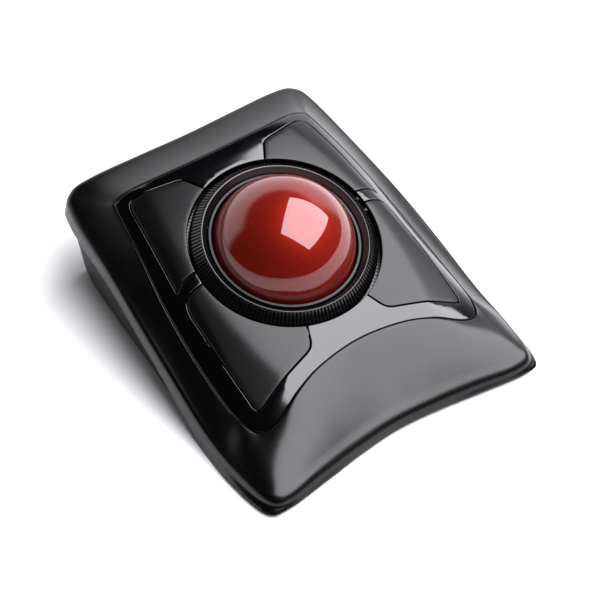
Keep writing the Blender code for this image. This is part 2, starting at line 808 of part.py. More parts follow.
def make_ring(ring):
    """The scroll ring: knurled cone, top lip, inner slope, retaining flange and slotted encoder skirt."""
    profile = [
        (RING_IN, -0.9),
        (RING_IN + 1.6, 0.7),
        (RING_IN + 2.2, 1.3),
        (RING_IN + 2.8, 0.8),
        (RING_R, -KNURL_DROP),
        (RING_R, FLANGE_TOP),
        (RING_R + 2.4, FLANGE_TOP),
        (RING_R + 2.4, FLANGE_TOP - FLANGE),
        (RING_R - 0.7, FLANGE_TOP - FLANGE),
        (RING_R - 0.7, SKIRT_BOTTOM),
        (RING_R - 2.1, SKIRT_BOTTOM),
        (RING_R - 2.1, FLANGE_TOP - FLANGE),
        (RING_IN + 1.6, FLANGE_TOP - FLANGE),
        (RING_IN + 1.6, TRACK_TOP + GAP),
        (RING_IN, TRACK_TOP + GAP),
    ]
    scroll = solid("scroll_ring", turned(profile, 64), "ring_black", ring)
    slots = []
    for i in range(SLOTS):
        turn = Matrix.Rotation(2 * math.pi * (i + 0.5) / SLOTS, 4, "Z")
        slot = box((4, 2.6, 2.6), (RING_R - 1.4, 0, SKIRT_BOTTOM + 1.0))
        slots.append(placed(slot, turn))
    shaped(scroll, "DIFFERENCE", "encoder_slots", combined(*slots))
    track = [
        (COLLAR_R + 0.2, TRACK_TOP),
        (COLLAR_R + 2.6, TRACK_TOP),
        (COLLAR_R + 2.6, TRACK_TOP - TRACK),
        (COLLAR_R + 0.2, TRACK_TOP - TRACK),
    ]
    solid("ring_track", turned(track, 48), "white_plastic", ring)


def make_cup(ring):
    """The ball's cup: a collar up to the lip, a flange for the ring's track, a seat on the frame."""
    lowest = -82
    inner = [(BALL_R + 0.2, 0.2), (BALL_R + 0.2, -0.8), (CUP_IN, -1.6)]
    inner += arc((0, -BALL_SINK), CUP_IN, 0, lowest, 10)
    seat_angle = math.degrees(math.asin((CUP_SEAT_TOP - CUP_SEAT + BALL_SINK) / CUP_OUT))
    outer = arc((0, -BALL_SINK), CUP_OUT, lowest, seat_angle, 7)
    seat_r = COLLAR_R + 4.0
    outer += [
        (seat_r, CUP_SEAT_TOP - CUP_SEAT),
        (seat_r, CUP_SEAT_TOP),
        (CUP_OUT - 0.4, CUP_SEAT_TOP),
        (CUP_OUT - 0.2, CUP_FLANGE_TOP - 1.3),
        (COLLAR_R + 3.0, CUP_FLANGE_TOP - 1.3),
        (COLLAR_R + 3.0, CUP_FLANGE_TOP),
        (COLLAR_R, CUP_FLANGE_TOP),
        (COLLAR_R, 0.2),
    ]
    cup = solid("ball_cup", turned(inner + outer, 40), "inner_black", ring)
    upright = Matrix.Translation((0, 0, -BALL_SINK)) @ Matrix.Rotation(-TILT, 4, "X")
    cuts = [placed(rod(DRAIN_R, -2 * CUP_OUT, -CUP_IN * 0.6, (0, 0), 24), upright)]
    for way in bearing_ways():
        pocket = rod(BEARING_DIAMETER / 2 + 0.25, BALL_R - 2, BALL_R + 0.15 + BEARING_DIAMETER + 0.25, (0, 0), 10)
        cuts.append(placed(pocket, pointing(way)))
    window = rod(SENSOR_HOLE_R, CUP_IN - 3, CUP_OUT + 3, (0, 0), 16)
    cuts.append(placed(window, pointing(sensor_way())))
    seat_z = CUP_SEAT_TOP - CUP_SEAT / 2
    cuts.append(box((2 * BAY_X, 8, CUP_SEAT + 0.4), (0, -CUP_OUT + 0.5 - 4, seat_z)))
    cuts.append(box((15, 8, CUP_SEAT + 0.4), (0, CUP_OUT - 0.55 + 4, seat_z)))
    shaped(cup, "DIFFERENCE", "cup_openings", combined(*cuts))


def pointing(way):
    """The frame at the ball's centre with its Z along a direction, in the ring's own frame."""
    turn = way.to_track_quat("Z", "Y").to_matrix().to_4x4()
    return Matrix.Translation((0, 0, -BALL_SINK)) @ turn


def bearing_ways():
    ways = []
    for azimuth in (-90, 30, 150):
        flat, fall = math.cos(math.radians(38)), math.sin(math.radians(38))
        angle = math.radians(azimuth)
        ways.append(Vector((flat * math.cos(angle), flat * math.sin(angle), -fall)))
    return ways


def sensor_way():
    """Down and back from the ball's centre, in the ring's own frame."""
    steep = SENSOR_ANGLE + TILT
    return Vector((0, math.cos(steep), -math.sin(steep)))


def make_ball_and_sensor(ring, ball_empty):
    ball = bmesh.new()
    bmesh.ops.create_uvsphere(ball, u_segments=32, v_segments=16, radius=BALL_R * MM)
    mesh = bpy.data.meshes.new("trackball")
    ball.to_mesh(mesh)
    ball.free()
    mesh.materials.append(material("ball_red"))
    mesh.shade_smooth()
    thing = bpy.data.objects.new("trackball", mesh)
    bpy.context.scene.collection.objects.link(thing)
    thing.parent = ball_empty
    for i, way in enumerate(bearing_ways(), 1):
        bead = bmesh.new()
        bmesh.ops.create_icosphere(bead, subdivisions=2, radius=BEARING_DIAMETER / 2 * MM)
        bead_mesh = bpy.data.meshes.new(f"support_bearing_{i}")
        bead.to_mesh(bead_mesh)
        bead.free()
        bead_mesh.materials.append(material("ruby"))
        bead_mesh.shade_smooth()
        bearing = bpy.data.objects.new(f"support_bearing_{i}", bead_mesh)
        bpy.context.scene.collection.objects.link(bearing)
        bearing.parent = ring
        reach = BALL_R + 0.15 + BEARING_DIAMETER / 2
        bearing.location = (Vector((0, 0, -BALL_SINK)) + way * reach) * MM
    ahead = pointing(sensor_way())
    lens = turned([(SENSOR_HOLE_R - 0.3, CUP_IN + 0.3), (SENSOR_HOLE_R - 0.3, CUP_OUT + 0.4)], 16, False)
    solid("sensor_lens", lens, "clear_lens", ring, ahead)
    chip_low = CUP_OUT + 0.7
    solid("sensor_chip", box((10, 7, 2.4), (0, 0, chip_low + 1.2)), "chip_black", ring, ahead)
    board_low = chip_low + 2.4 + GAP
    solid("sensor_board", box((22, 15, BOARD), (0, 0, board_low + BOARD / 2)), "board_green", ring, ahead)


def frame_under(y):
    """Height of the inner frame's underside at a plan distance behind the ring's centre."""
    return DECK_SLOPE * y + (FRAME_TOP - FRAME) / math.cos(TILT)


def make_frame_and_boards(ring):
    """The inner frame with its two switch boards, four switches and the ring's light gate."""
    front, back = -42.0, 44.0
    wide = stretch(48.2, BODY_WIDTH / 2, DRAWN_HALF_WIDTH)
    arm_in = CELL_LENGTH / 2 + SPRING_ROOM + BAY_WALL + 0.6
    outline = [(wide, front), (wide, 14), (wide - 9, back - 8), (30, back)]
    outline += [(-x, y) for x, y in reversed(outline)]
    plate = prism(outline, FRAME_TOP - FRAME, FRAME_TOP)
    frame = solid("inner_frame", plate, "inner_black", ring)
    throat = combined(rod(CUP_OUT - 0.9, FRAME_TOP - 4, FRAME_TOP + 2, (0, 0), 40))
    shaped(frame, "DIFFERENCE", "frame_throat", throat)
    bay = box((2 * arm_in, 40, 6), (0, -40, FRAME_TOP - FRAME / 2))
    shaped(frame, "DIFFERENCE", "frame_bay", bay)
    for side, word in ((-1, "left"), (1, "right")):
        inner, outer = HOLE_R + 1.2, wide - 1.6
        tall = box(
            (outer - inner, 64, BOARD),
            (side * (inner + outer) / 2, -8.0, BOARD_TOP - BOARD / 2),
        )
        board = solid(f"switch_board_{word}", tall, "board_green", ring)
        for row in ("back", "front"):
            x, y = switch_spot(row, side)
            tab = box((10, 9, BOARD), (side * (abs(x) + 1.6), y, BOARD_TOP - BOARD / 2))
            shaped(board, "UNION", f"board_tab_{row}_{word}", tab)
            body = box((6, 6, 3.4), (x, y, SWITCH_TOP - 1.7))
            switch = solid(f"switch_{row}_{word}", body, "chip_black", ring)
            well = rod(1.7, SWITCH_TOP - 1.6, SWITCH_TOP + 1, (x, y), 12)
            shaped(switch, "DIFFERENCE", f"switch_well_{row}_{word}", well)
            plunger = rod(1.4, SWITCH_TOP - 0.7, PLUNGER_TOP, (x, y), 12)
            solid(f"plunger_{row}_{word}", plunger, "white_plastic", ring)
    gate_y = RING_R - 1.4
    plate = box((14, 9, BOARD), (0, gate_y + 1.5, BOARD_TOP - BOARD / 2))
    solid("encoder_board", plate, "board_green", ring)
    for name, offset in (("ring_emitter", -1.9), ("ring_detector", 2.1)):
        body = box((3.4, 1.6, 2.4), (0, gate_y + offset, BOARD_TOP + GAP + 1.2))
        solid(name, body, "chip_black", ring)


def main():
    clear_scene()
    upright = Matrix.Translation(Vector((0, RING_Y, RING_Z)) * MM)
    centre = empty("ring_centre", upright)
    ring = empty("ring_axis", upright @ Matrix.Rotation(TILT, 4, "X"), centre)
    bpy.context.view_layer.update()
    ball_empty = empty(
        "ball_centre", ring.matrix_world @ Matrix.Translation((0, 0, -BALL_SINK * MM)), ring
    )
    bpy.context.view_layer.update()
    make_top_cover(centre)
    make_base(centre)
    make_battery_bay(centre)
    make_underside_controls(centre)
    make_feet(centre)
    make_screws(centre)
    make_deck(centre, ring)
    make_ring(ring)
    make_cup(ring)
    make_ball_and_sensor(ring, ball_empty)
    make_frame_and_boards(ring)


main()
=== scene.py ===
"""Looks of the wireless desktop trackball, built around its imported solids.

Shapes are drawn in millimetres about the scroll ring's centre, as in the solids' own source, and are turned
into metres where a mesh is made. Every piece rides on the body whose solid it stands for.
"""

import json
import math

import bmesh
import bpy
import numpy as np
from mathutils import Matrix, Vector
from mathutils.geometry import delaunay_2d_cdt


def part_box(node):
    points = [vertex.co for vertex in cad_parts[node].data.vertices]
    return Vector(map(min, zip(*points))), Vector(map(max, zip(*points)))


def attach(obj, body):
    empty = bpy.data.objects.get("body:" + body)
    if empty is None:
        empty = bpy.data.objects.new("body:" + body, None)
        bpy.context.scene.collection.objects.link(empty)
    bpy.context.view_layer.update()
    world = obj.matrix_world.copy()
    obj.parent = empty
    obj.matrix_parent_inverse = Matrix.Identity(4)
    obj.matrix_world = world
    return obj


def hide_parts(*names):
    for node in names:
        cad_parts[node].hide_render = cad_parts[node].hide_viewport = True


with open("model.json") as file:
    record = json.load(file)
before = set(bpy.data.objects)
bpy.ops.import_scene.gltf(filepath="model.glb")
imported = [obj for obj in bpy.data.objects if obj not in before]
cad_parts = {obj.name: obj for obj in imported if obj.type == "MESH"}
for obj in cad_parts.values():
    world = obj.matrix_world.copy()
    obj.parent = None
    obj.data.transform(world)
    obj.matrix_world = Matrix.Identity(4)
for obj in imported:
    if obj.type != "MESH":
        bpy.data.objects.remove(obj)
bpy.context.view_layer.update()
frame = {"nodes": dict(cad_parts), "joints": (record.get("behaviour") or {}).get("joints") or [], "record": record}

MM = 0.001
TAU = 2 * math.pi
JOINTS = {joint["name"]: joint for joint in frame["joints"]}

# Places read from the frame
RING_CENTRE = Vector(JOINTS["ring_spin"]["pos_m"]) / MM
RING_AXIS = Vector(JOINTS["ring_spin"]["axis"])
TILT = math.atan2(-RING_AXIS.y, RING_AXIS.z)
CENTRE = Matrix.Translation(RING_CENTRE)
RING = CENTRE @ Matrix.Rotation(TILT, 4, "X")
BALL_CENTRE = Vector(JOINTS["ball_roll"]["pos_m"]) / MM
BALL_R = (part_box("trackball")[1].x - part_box("trackball")[0].x) / 2 / MM

# Sizes shared with the solids
DECK_SLOPE = math.tan(TILT)
DECK_THICKNESS = 2.0
COVER_WALL = 2.0
BASE_WALL = 2.0
BASE_FLOOR = 1.6
GROUND_GAP = 1.2
GAP = 0.3
BUTTON_GAP = 0.5
CUP_WALL = 2.4
RING_WIDTH = 6.55
HOLE_CLEARANCE = 1.1
CUP_IN = BALL_R + 0.35
COLLAR_R = CUP_IN + 1.0
CUP_OUT = CUP_IN + CUP_WALL
RING_IN = COLLAR_R + GAP
RING_R = RING_IN + RING_WIDTH
HOLE_R = RING_R + HOLE_CLEARANCE
BALL_SINK = (RING_CENTRE.z - BALL_CENTRE.z) / math.cos(TILT)
FLOOR_TOP = GROUND_GAP + BASE_FLOOR
LEDGE = 2.0
SKIRT_ROUNDING = 1.3
RIM_SAG = 0.8
BACK_ROUNDING = 600
SIDE_FALL = 0.14

# Sizes in which the drawn surfaces part from the solids: the deck is crowned less, its outer strip rolls
# down over a wider band, and the front ramp swells where the solid's hangs. That is up to 2.3 mm on the case
# cover, 1.2 mm on the deck and 1.1 mm on the buttons
DECK_CROWN = 740
STRIP = 8.5
STRIP_POWER = 1.35
FRONT_SAG = -1.0
FRONT_START = -42
FRONT_EASE = 8

# Steps of a smooth curve between two of an outline's points
SMOOTH = 8

# Outlines from the back centre to the front centre, right half: x, y from the ring's centre, then the drop
# below the deck (BEZEL) or the height above the table (the others)
BEZEL = [
    (0, 46.5, 0.4), (20, 47.2, 0.4), (36, 49.3, 0.4), (43.0, 49.4, 0.6), (45.0, 46.0, 0.8),
    (47.9, 26, 2.3), (50.9, 5.2, 4.6), (52.5, -15.7, 4.9), (53.1, -36.6, 3.2), (52.1, -48, 0.9),
    (48.8, -54.2, 0.5), (42, -55.2, 0.4), (31, -51.5, 0.6), (18, -47.8, 0.5), (0, -46, 0.5),
]
RIM = [
    (0, 65.8, 44.0), (22, 67.0, 43.3), (42, 69.0, 41.3), (51.4, 68.7, 38.9), (55.4, 61, 36.4),
    (57.8, 31, 30.5), (59.7, 8, 24.6), (60.9, -14, 17.8), (61.8, -38, 9.6), (61.6, -58, 6.8),
    (59.0, -73.6, 6.2), (51.8, -76.9, 6.0), (34, -74.4, 6.2), (18, -72.4, 6.4), (0, -71, 6.4),
]
SKIRT = [
    (0, 67.2, 36.0), (22, 68.3, 35.4), (43.2, 70.4, 33.8), (53.4, 70.2, 31.2), (57.4, 61.5, 28.6),
    (59.3, 31, 22.8), (61.1, 8, 16.8), (62.5, -14, 9.6), (64.0, -38, 1.6), (64.4, -58, 1.5),
    (61.6, -76, 1.5), (54.2, -79.2, 1.5), (35, -76.8, 1.5), (18, -74.3, 1.5), (0, -72.9, 1.5),
]
BASE_FOOT = [
    (0, 62.4, GROUND_GAP), (22, 63, GROUND_GAP), (44, 63.6, GROUND_GAP), (51.6, 62.4, GROUND_GAP),
    (54.4, 54.5, GROUND_GAP), (56.6, 32, GROUND_GAP), (58.4, 8, GROUND_GAP), (60.0, -14, GROUND_GAP),
    (61.2, -38, GROUND_GAP), (61.2, -58, GROUND_GAP), (58.5, -72, GROUND_GAP), (52, -75.2, GROUND_GAP),
    (34, -73.2, GROUND_GAP), (18, -71, GROUND_GAP), (0, -69.6, GROUND_GAP),
]
BASE_TOP = [
    (0, 65.2, 35.4), (22, 66.3, 34.8), (42.4, 68.4, 33.2), (51.8, 68.1, 30.6), (55.6, 60.6, 28.0),
    (57.7, 31, 22.2), (59.3, 8, 16.2), (60.0, -14, 8.9), (60.3, -38, 3.8), (60.0, -58, 3.6),
    (57.5, -71.8, 3.6), (51.0, -74.8, 3.6), (34, -72.3, 3.6), (18, -70.3, 3.6), (0, -69.0, 3.6),
]

# Button outlines, right half, from inside the ring's hole outwards and back into it
BUTTONS = {
    "back": [
        (11.5, 30.5), (14.4, 34.8), (17.2, 39.4), (18.4, 41.0), (20.8, 42.0), (29, 43.6), (37.6, 45.3),
        (39.9, 44.9), (41.1, 42.6), (43.6, 24), (45.4, 8), (45.9, 3.6), (42.2, 5.2), (36.7, 5.4), (30, 5.4),
    ],
    "front": [
        (30, 0.6), (36.2, 0.6), (42.0, 0.4), (45.2, -1.2), (46.4, -4.6), (46.9, -20), (46.9, -34),
        (46.6, -46.6), (45.6, -48.6), (43.2, -48.4), (19.0, -41.6), (16.8, -40.3), (15.6, -38.4),
        (13.2, -32.7), (10.9, -28.2),
    ],
}


# Heights and outlines -------------------------------------------------------------------------------------


def low(height):
    """A height above the table, about the ring's centre."""
    return height - RING_CENTRE.z


def deck_height(x, y):
    """Height of the deck above the ring's centre: it falls to the front, rounds over at the back, is crowned
    sideways (less than the solid), and falls away more steeply outside a crease that runs down each side."""
    crease = HOLE_R + 1.7 - 4.0 * (y / HOLE_R) ** 2
    over = np.abs(x) - crease
    fall = DECK_SLOPE * y - np.maximum(y, 0.0) ** 2 / BACK_ROUNDING
    return fall - x * x / DECK_CROWN - SIDE_FALL * (over + np.hypot(over, 2.0))


def closed_loop(keys, samples=SMOOTH):
    """A smooth closed curve through the right half's points and their mirror images."""
    whole = [Vector(key) for key in keys]
    whole += [Vector((-key[0], key[1], key[2])) for key in reversed(keys[1:-1])]
    count = len(whole)
    curve = []
    for i in range(count):
        before, start, end, after = (whole[(i + k) % count] for k in (-1, 0, 1, 2))
        for step in range(samples):
            t = step / samples
            curve.append(
                0.5 * (
                    2 * start
                    + (end - before) * t
                    + (2 * before - 5 * start + 4 * end - after) * t * t
                    + (3 * start - before - 3 * end + after) * t ** 3
                )
            )
    return curve


def outline_loop(keys):
    """A smooth closed curve through points whose heights are given above the table."""
    return closed_loop([(x, y, low(height)) for x, y, height in keys])


def inset(loop, distance, drop=0.0):
    """The loop moved inwards in plan by a distance, and down by a drop."""
    moved = []
    for i, point in enumerate(loop):
        along = loop[(i + 1) % len(loop)] - loop[i - 1]
        inwards = Vector((along.y, -along.x, 0)).normalized()
        if inwards.x * point.x + inwards.y * (point.y + 5) > 0:
            inwards.negate()
        moved.append(point + inwards * distance - Vector((0, 0, drop)))
    return moved


def between(first, second, share, sag=0.0, front=None):
    """A loop part of the way between two others, hanging a little below the straight line. At the front
    it can hang by another amount, or swell above the line."""
    made = []
    for a, b in zip(first, second):
        hang = sag
        if front is not None:
            near = min(1.0, max(0.0, (FRONT_START - a.y) / FRONT_EASE))
            hang += (front - sag) * near * near * (3 - 2 * near)
        made.append(a.lerp(b, share) - Vector((0, 0, hang * 4 * share * (1 - share))))
    return made


def bend(first, corner, last, steps):
    """Loops along a rounded corner from one loop to another, steered by a third."""
    made = []
    for k in range(steps + 1):
        t = k / steps
        made.append([
            a * (1 - t) ** 2 + b * 2 * t * (1 - t) + c * t * t for a, b, c in zip(first, corner, last)
        ])
    return made


BEZEL_LOOP = closed_loop([(x, y, deck_height(x, y) - drop) for x, y, drop in BEZEL])
EDGE = inset(BEZEL_LOOP, GAP)
EDGE_ANGLE = np.array([math.atan2(point.y, point.x) for point in EDGE])
EDGE_REACH = np.array([math.hypot(point.x, point.y) for point in EDGE])
EDGE_DROP = np.array([deck_height(point.x, point.y) - point.z for point in EDGE])


def surface(x, y):
    """Height of the deck's finished top: the crowned deck, rolled down along an outer strip that is wider
    than the solid's."""
    angle, reach = np.arctan2(y, x), np.hypot(x, y)
    edge = np.interp(angle, EDGE_ANGLE, EDGE_REACH, period=TAU)
    drop = np.interp(angle, EDGE_ANGLE, EDGE_DROP, period=TAU)
    width = np.minimum(STRIP, 0.6 * (edge - HOLE_R))
    share = np.clip(1 - (edge - reach) / width, 0, 1)
    return deck_height(x, y) - drop * share ** STRIP_POWER


def hole_point(angle, depth):
    """A point of the ring's hole, at a depth under the deck's top. The hole follows the ring's own axis."""
    across, along = HOLE_R * math.cos(angle), HOLE_R * math.sin(angle)
    rise = 0.0
    for _ in range(6):
        y = along * math.cos(TILT) - rise * math.sin(TILT)
        rise = (float(surface(across, y)) - depth - along * math.sin(TILT)) / math.cos(TILT)
    return Vector((across, y))


HOLE = [hole_point(TAU * i / 360, 0) for i in range(360)]
HOLE_ANGLE = np.array([math.atan2(point.y, point.x) for point in HOLE])
HOLE_REACH = np.array([point.length for point in HOLE])


def hole_at(angle):
    """The plan point of the hole's edge in a direction from the ring's centre."""
    reach = float(np.interp(angle, HOLE_ANGLE, HOLE_REACH, period=TAU))
    return Vector((reach * math.cos(angle), reach * math.sin(angle)))


def over_hole(point):
    """How far a plan point lies outside the ring's hole."""
    return point.length - hole_at(math.atan2(point.y, point.x)).length


def rounded(path, tightest=0.9, steps=6):
    """An open path whose gentle turns become smooth curves and whose sharp corners get a small radius."""
    points = [Vector(point) for point in path]
    made = [points[0]]
    for before, here, after in zip(points, points[1:], points[2:]):
        back, on = before - here, after - here
        half = 0.5 * min(back.length, on.length)
        turn = math.pi - back.angle(on)
        cut = half if turn < math.radians(38) else min(tightest, 0.9 * half)
        start, end = here + back.normalized() * cut, here + on.normalized() * cut
        for k in range(steps + 1):
            t = k / steps
            made.append(start * (1 - t) ** 2 + here * 2 * t * (1 - t) + end * t * t)
    made.append(points[-1])
    return [point for point, before in zip(made, [points[-1] * 99] + made) if (point - before).length > 0.01]


def resampled(path, spacing):
    """An open path with a point at each step of a spacing."""
    made = [path[0]]
    for a, b in zip(path, path[1:]):
        count = max(1, round((b - a).length / spacing))
        made += [a.lerp(b, (k + 1) / count) for k in range(count) if (b - a).length > 1e-6]
    kept = [made[0]]
    for point in made[1:]:
        if (point - kept[-1]).length > 0.7 * spacing:
            kept.append(point)
    return kept


def shrunk(outline, distance):
    """A closed outline with every side moved inwards by a distance, or outwards by a negative one."""
    points = [Vector(point) for point in outline]
    area = sum(a.x * b.y - b.x * a.y for a, b in zip(points, points[1:] + points[:1]))
    turn = 1 if area > 0 else -1
    result = []
    for i, here in enumerate(points):
        back = (here - points[i - 1]).normalized()
        on = (points[(i + 1) % len(points)] - here).normalized()
        inwards = [Vector((-way.y, way.x)) * turn for way in (back, on)]
        middle = (inwards[0] + inwards[1]).normalized()
        result.append(here + middle * distance / max(middle.dot(inwards[0]), 0.5))
    return result


def button_path(row, side, gap):
    """The part of a button's outline that lies on the deck, from the ring's hole and back to it."""
    path = rounded(BUTTONS[row])
    if gap:
        path = shrunk(path, gap)
    path = resampled([Vector((side * point.x, point.y)) for point in path], 0.55)
    out = [over_hole(point) for point in path]
    first = next(i for i, value in enumerate(out) if value > 0.15)
    last = len(out) - 1 - next(i for i, value in enumerate(reversed(out)) if value > 0.15)
    kept = path[first:last + 1]
    ends = []
    for inner, outer in ((path[first - 1], path[first]), (path[last + 1], path[last])):
        low_share, high_share = 0.0, 1.0
        for _ in range(20):
            middle = (low_share + high_share) / 2
            if over_hole(inner.lerp(outer, middle)) > 0:
                high_share = middle
            else:
                low_share = middle
        ends.append(inner.lerp(outer, high_share))
    return [ends[0], *kept, ends[1]]


def hole_arc(start, end, turn):
    """Points along the hole's edge between two of its points, going the way of turn (1 is anticlockwise)."""
    first, last = math.atan2(start.y, start.x), math.atan2(end.y, end.x)
    sweep = (last - first) % TAU if turn > 0 else -((first - last) % TAU)
    count = max(2, round(abs(sweep) * HOLE_R / 0.6))
    return [hole_at(first + sweep * k / count) for k in range(1, count)]


# Shapes: each is a pair of a vertex list and a face list, in millimetres ------------------------------------


def loft(loops, closed=False):
    """Bridges loops of equal length. An open loft is capped at both ends."""
    count = len(loops[0])
    verts = [point for loop in loops for point in loop]
    faces = []
    pairs = len(loops) if closed else len(loops) - 1
    for k in range(pairs):
        low_row, high_row = k * count, ((k + 1) % len(loops)) * count
        for i in range(count):
            j = (i + 1) % count
            faces.append((low_row + i, low_row + j, high_row + j, high_row + i))
    if not closed:
        faces.append(tuple(range(count)))
        faces.append(tuple((len(loops) - 1) * count + i for i in range(count)))
    return verts, faces


def turned(profile, steps, closed=True):
    """A profile of (radius, height) points turned round Z."""
    loops = []
    for radius, height in profile:
        angles = [TAU * i / steps for i in range(steps)]
        loops.append([Vector((radius * math.cos(a), radius * math.sin(a), height)) for a in angles])
    return loft(loops, closed)


def eased(profile, radius, steps=3, closed=True):
    """A section profile with each corner rounded by a radius, or by what its sides allow."""
    points = [Vector(point) for point in profile]
    made = []
    count = len(points)
    for i, here in enumerate(points):
        if not closed and i in (0, count - 1):
            made.append(tuple(here))
            continue
        back, on = points[i - 1] - here, points[(i + 1) % count] - here
        cut = min(radius, 0.45 * back.length, 0.45 * on.length)
        start, end = here + back.normalized() * cut, here + on.normalized() * cut
        for k in range(steps + 1):
            t = k / steps
            made.append(tuple(start * (1 - t) ** 2 + here * 2 * t * (1 - t) + end * t * t))
    return made


def box(size, centre=(0, 0, 0)):
    corners = []
    for z in (-0.5, 0.5):
        for x, y in ((-0.5, -0.5), (0.5, -0.5), (0.5, 0.5), (-0.5, 0.5)):
            corners.append(Vector((x * size[0], y * size[1], z * size[2])) + Vector(centre))
    return loft([corners[:4], corners[4:]])


def rod(radius, start, end, centre=(0, 0), steps=32):
    verts, faces = turned([(radius, start), (radius, end)], steps, closed=False)
    return [point + Vector((*centre, 0)) for point in verts], faces


def placed(shape, matrix):
    verts, faces = shape
    return [matrix @ point for point in verts], faces


def combined(*shapes):
    verts, faces = [], []
    for more_verts, more_faces in shapes:
        start = len(verts)
        verts = verts + list(more_verts)
        faces = faces + [tuple(start + i for i in face) for face in more_faces]
    return verts, faces


def rounded_slab(size, corner, edge, centre=(0, 0, 0)):
    """A plate with rounded corners in plan and softened edges, as lofted outlines."""
    wide, deep, tall = size
    outline = []
    for quarter, (x, y) in enumerate(((1, 1), (-1, 1), (-1, -1), (1, -1))):
        for k in range(7):
            angle = math.radians(90 * quarter + 15 * k)
            outline.append((
                x * (wide / 2 - corner) + corner * math.cos(angle),
                y * (deep / 2 - corner) + corner * math.sin(angle),
            ))
    rows = [(edge * (1 - s), -tall / 2 + edge * (1 - math.sqrt(1 - s * s))) for s in (0, 0.4, 0.75, 0.95, 1)]
    rows += [(pull, -z) for pull, z in reversed(rows)]
    made = []
    for pull, z in rows:
        shrink_x, shrink_y = 1 - 2 * pull / wide, 1 - 2 * pull / deep
        made.append([Vector((x * shrink_x, y * shrink_y, z)) + Vector(centre) for x, y in outline])
    return loft(made)


def is_inside(points, loop):
    """Which of an array's plan points lie inside a closed loop."""
    x, y = points[:, 0], points[:, 1]
    found = np.zeros(len(points), bool)
    for a, b in zip(loop, np.roll(loop, -1, axis=0)):
        crosses = (a[1] > y) != (b[1] > y)
        rise = b[1] - a[1] if b[1] != a[1] else 1.0
        found ^= crosses & (x < a[0] + (y - a[1]) * (b[0] - a[0]) / rise)
    return found


def filled(loops, spacing):
    """Triangles of the flat region inside the first outline and outside any other, on a grid of points."""
    arrays = [np.array([tuple(point) for point in loop]) for loop in loops]
    bound = np.concatenate(arrays)
    lowest, highest = bound.min(0), bound.max(0)
    columns = np.arange(lowest[0], highest[0], spacing)
    rows = np.arange(lowest[1], highest[1], spacing * 0.866)
    grid = np.array([(x + (j % 2) * spacing / 2, y) for j, y in enumerate(rows) for x in columns])
    keep = is_inside(grid, arrays[0])
    for hole in arrays[1:]:
        keep &= ~is_inside(grid, hole)
    grid = grid[keep]
    nearest = np.array([np.hypot(*(bound - point).T).min() for point in grid])
    grid = grid[nearest > 0.55 * spacing]
    edges, start = [], 0
    for array in arrays:
        edges += [(start + i, start + (i + 1) % len(array)) for i in range(len(array))]
        start += len(array)
    points = [Vector(point) for point in np.concatenate([bound, grid])]
    result = delaunay_2d_cdt(points, edges, [], 0, 1e-7)
    if len(result[0]) != len(points):
        raise ValueError("an outline crosses itself")
    faces = np.array([face for face in result[2]])
    middles = np.array([tuple(point) for point in points])[faces].mean(1)
    keep = is_inside(middles, arrays[0])
    for hole in arrays[1:]:
        keep &= ~is_inside(middles, hole)
    return points, [tuple(int(i) for i in face) for face in faces[keep]]


def cleared(outline, reach):
    """The outline without the points that crowd its sharp corners, so that it can be moved sideways."""
    sharp = []
    for i, here in enumerate(outline):
        back, on = here - outline[i - 1], outline[(i + 1) % len(outline)] - here
        if back.length > 1e-6 and on.length > 1e-6 and back.angle(on) > math.radians(35):
            sharp.append(i)
    kept = []
    for i, here in enumerate(outline):
        crowded = any((here - outline[k]).length < reach for k in sharp if k != i)
        if i in sharp or not crowded:
            kept.append(here)
    return kept


def plate(outer, inner, fillet, depth=DECK_THICKNESS, spacing=1.3):
    """A closed plate that follows the deck's top between outlines, with rounded upper edges."""
    outlines = [cleared(outline, 2.6 * fillet) for outline in ([outer, inner] if inner else [outer])]
    verts, faces, tops, starts = [], [], [], []
    pulls = [(fillet * (1 - math.cos(math.radians(a))), fillet * (1 - math.sin(math.radians(a))))
             for a in (0, 25, 50, 72, 90)]
    for k, outline in enumerate(outlines):
        way = 1 if k == 0 else -1
        rows = [(0, depth)] + pulls
        first = len(verts)
        starts.append(first)
        for pull, drop in rows:
            row = shrunk(outline, way * pull)
            edge_z = [float(surface(point.x, point.y)) for point in row]
            verts += [Vector((point.x, point.y, z - drop)) for point, z in zip(row, edge_z)]
        count = len(outline)
        for r in range(len(rows) - 1):
            for i in range(count):
                j = (i + 1) % count
                a, b = first + r * count, first + (r + 1) * count
                faces.append((a + i, a + j, b + j, b + i))
        tops.append(shrunk(outline, way * fillet))
    for level in ("top", "bottom"):
        loops = tops if level == "top" else outlines
        points, fill = filled(loops, spacing)
        row = len(pulls) if level == "top" else 0
        index = []
        for start, loop in zip(starts, loops):
            index += [start + row * len(loop) + i for i in range(len(loop))]
        for point in points[len(index):]:
            index.append(len(verts))
            height = float(surface(point.x, point.y))
            verts.append(Vector((point.x, point.y, height - (depth if level == "bottom" else 0))))
        faces += [tuple(index[i] for i in face) for face in fill]
    return verts, faces


# Finishes ---------------------------------------------------------------------------------------------------


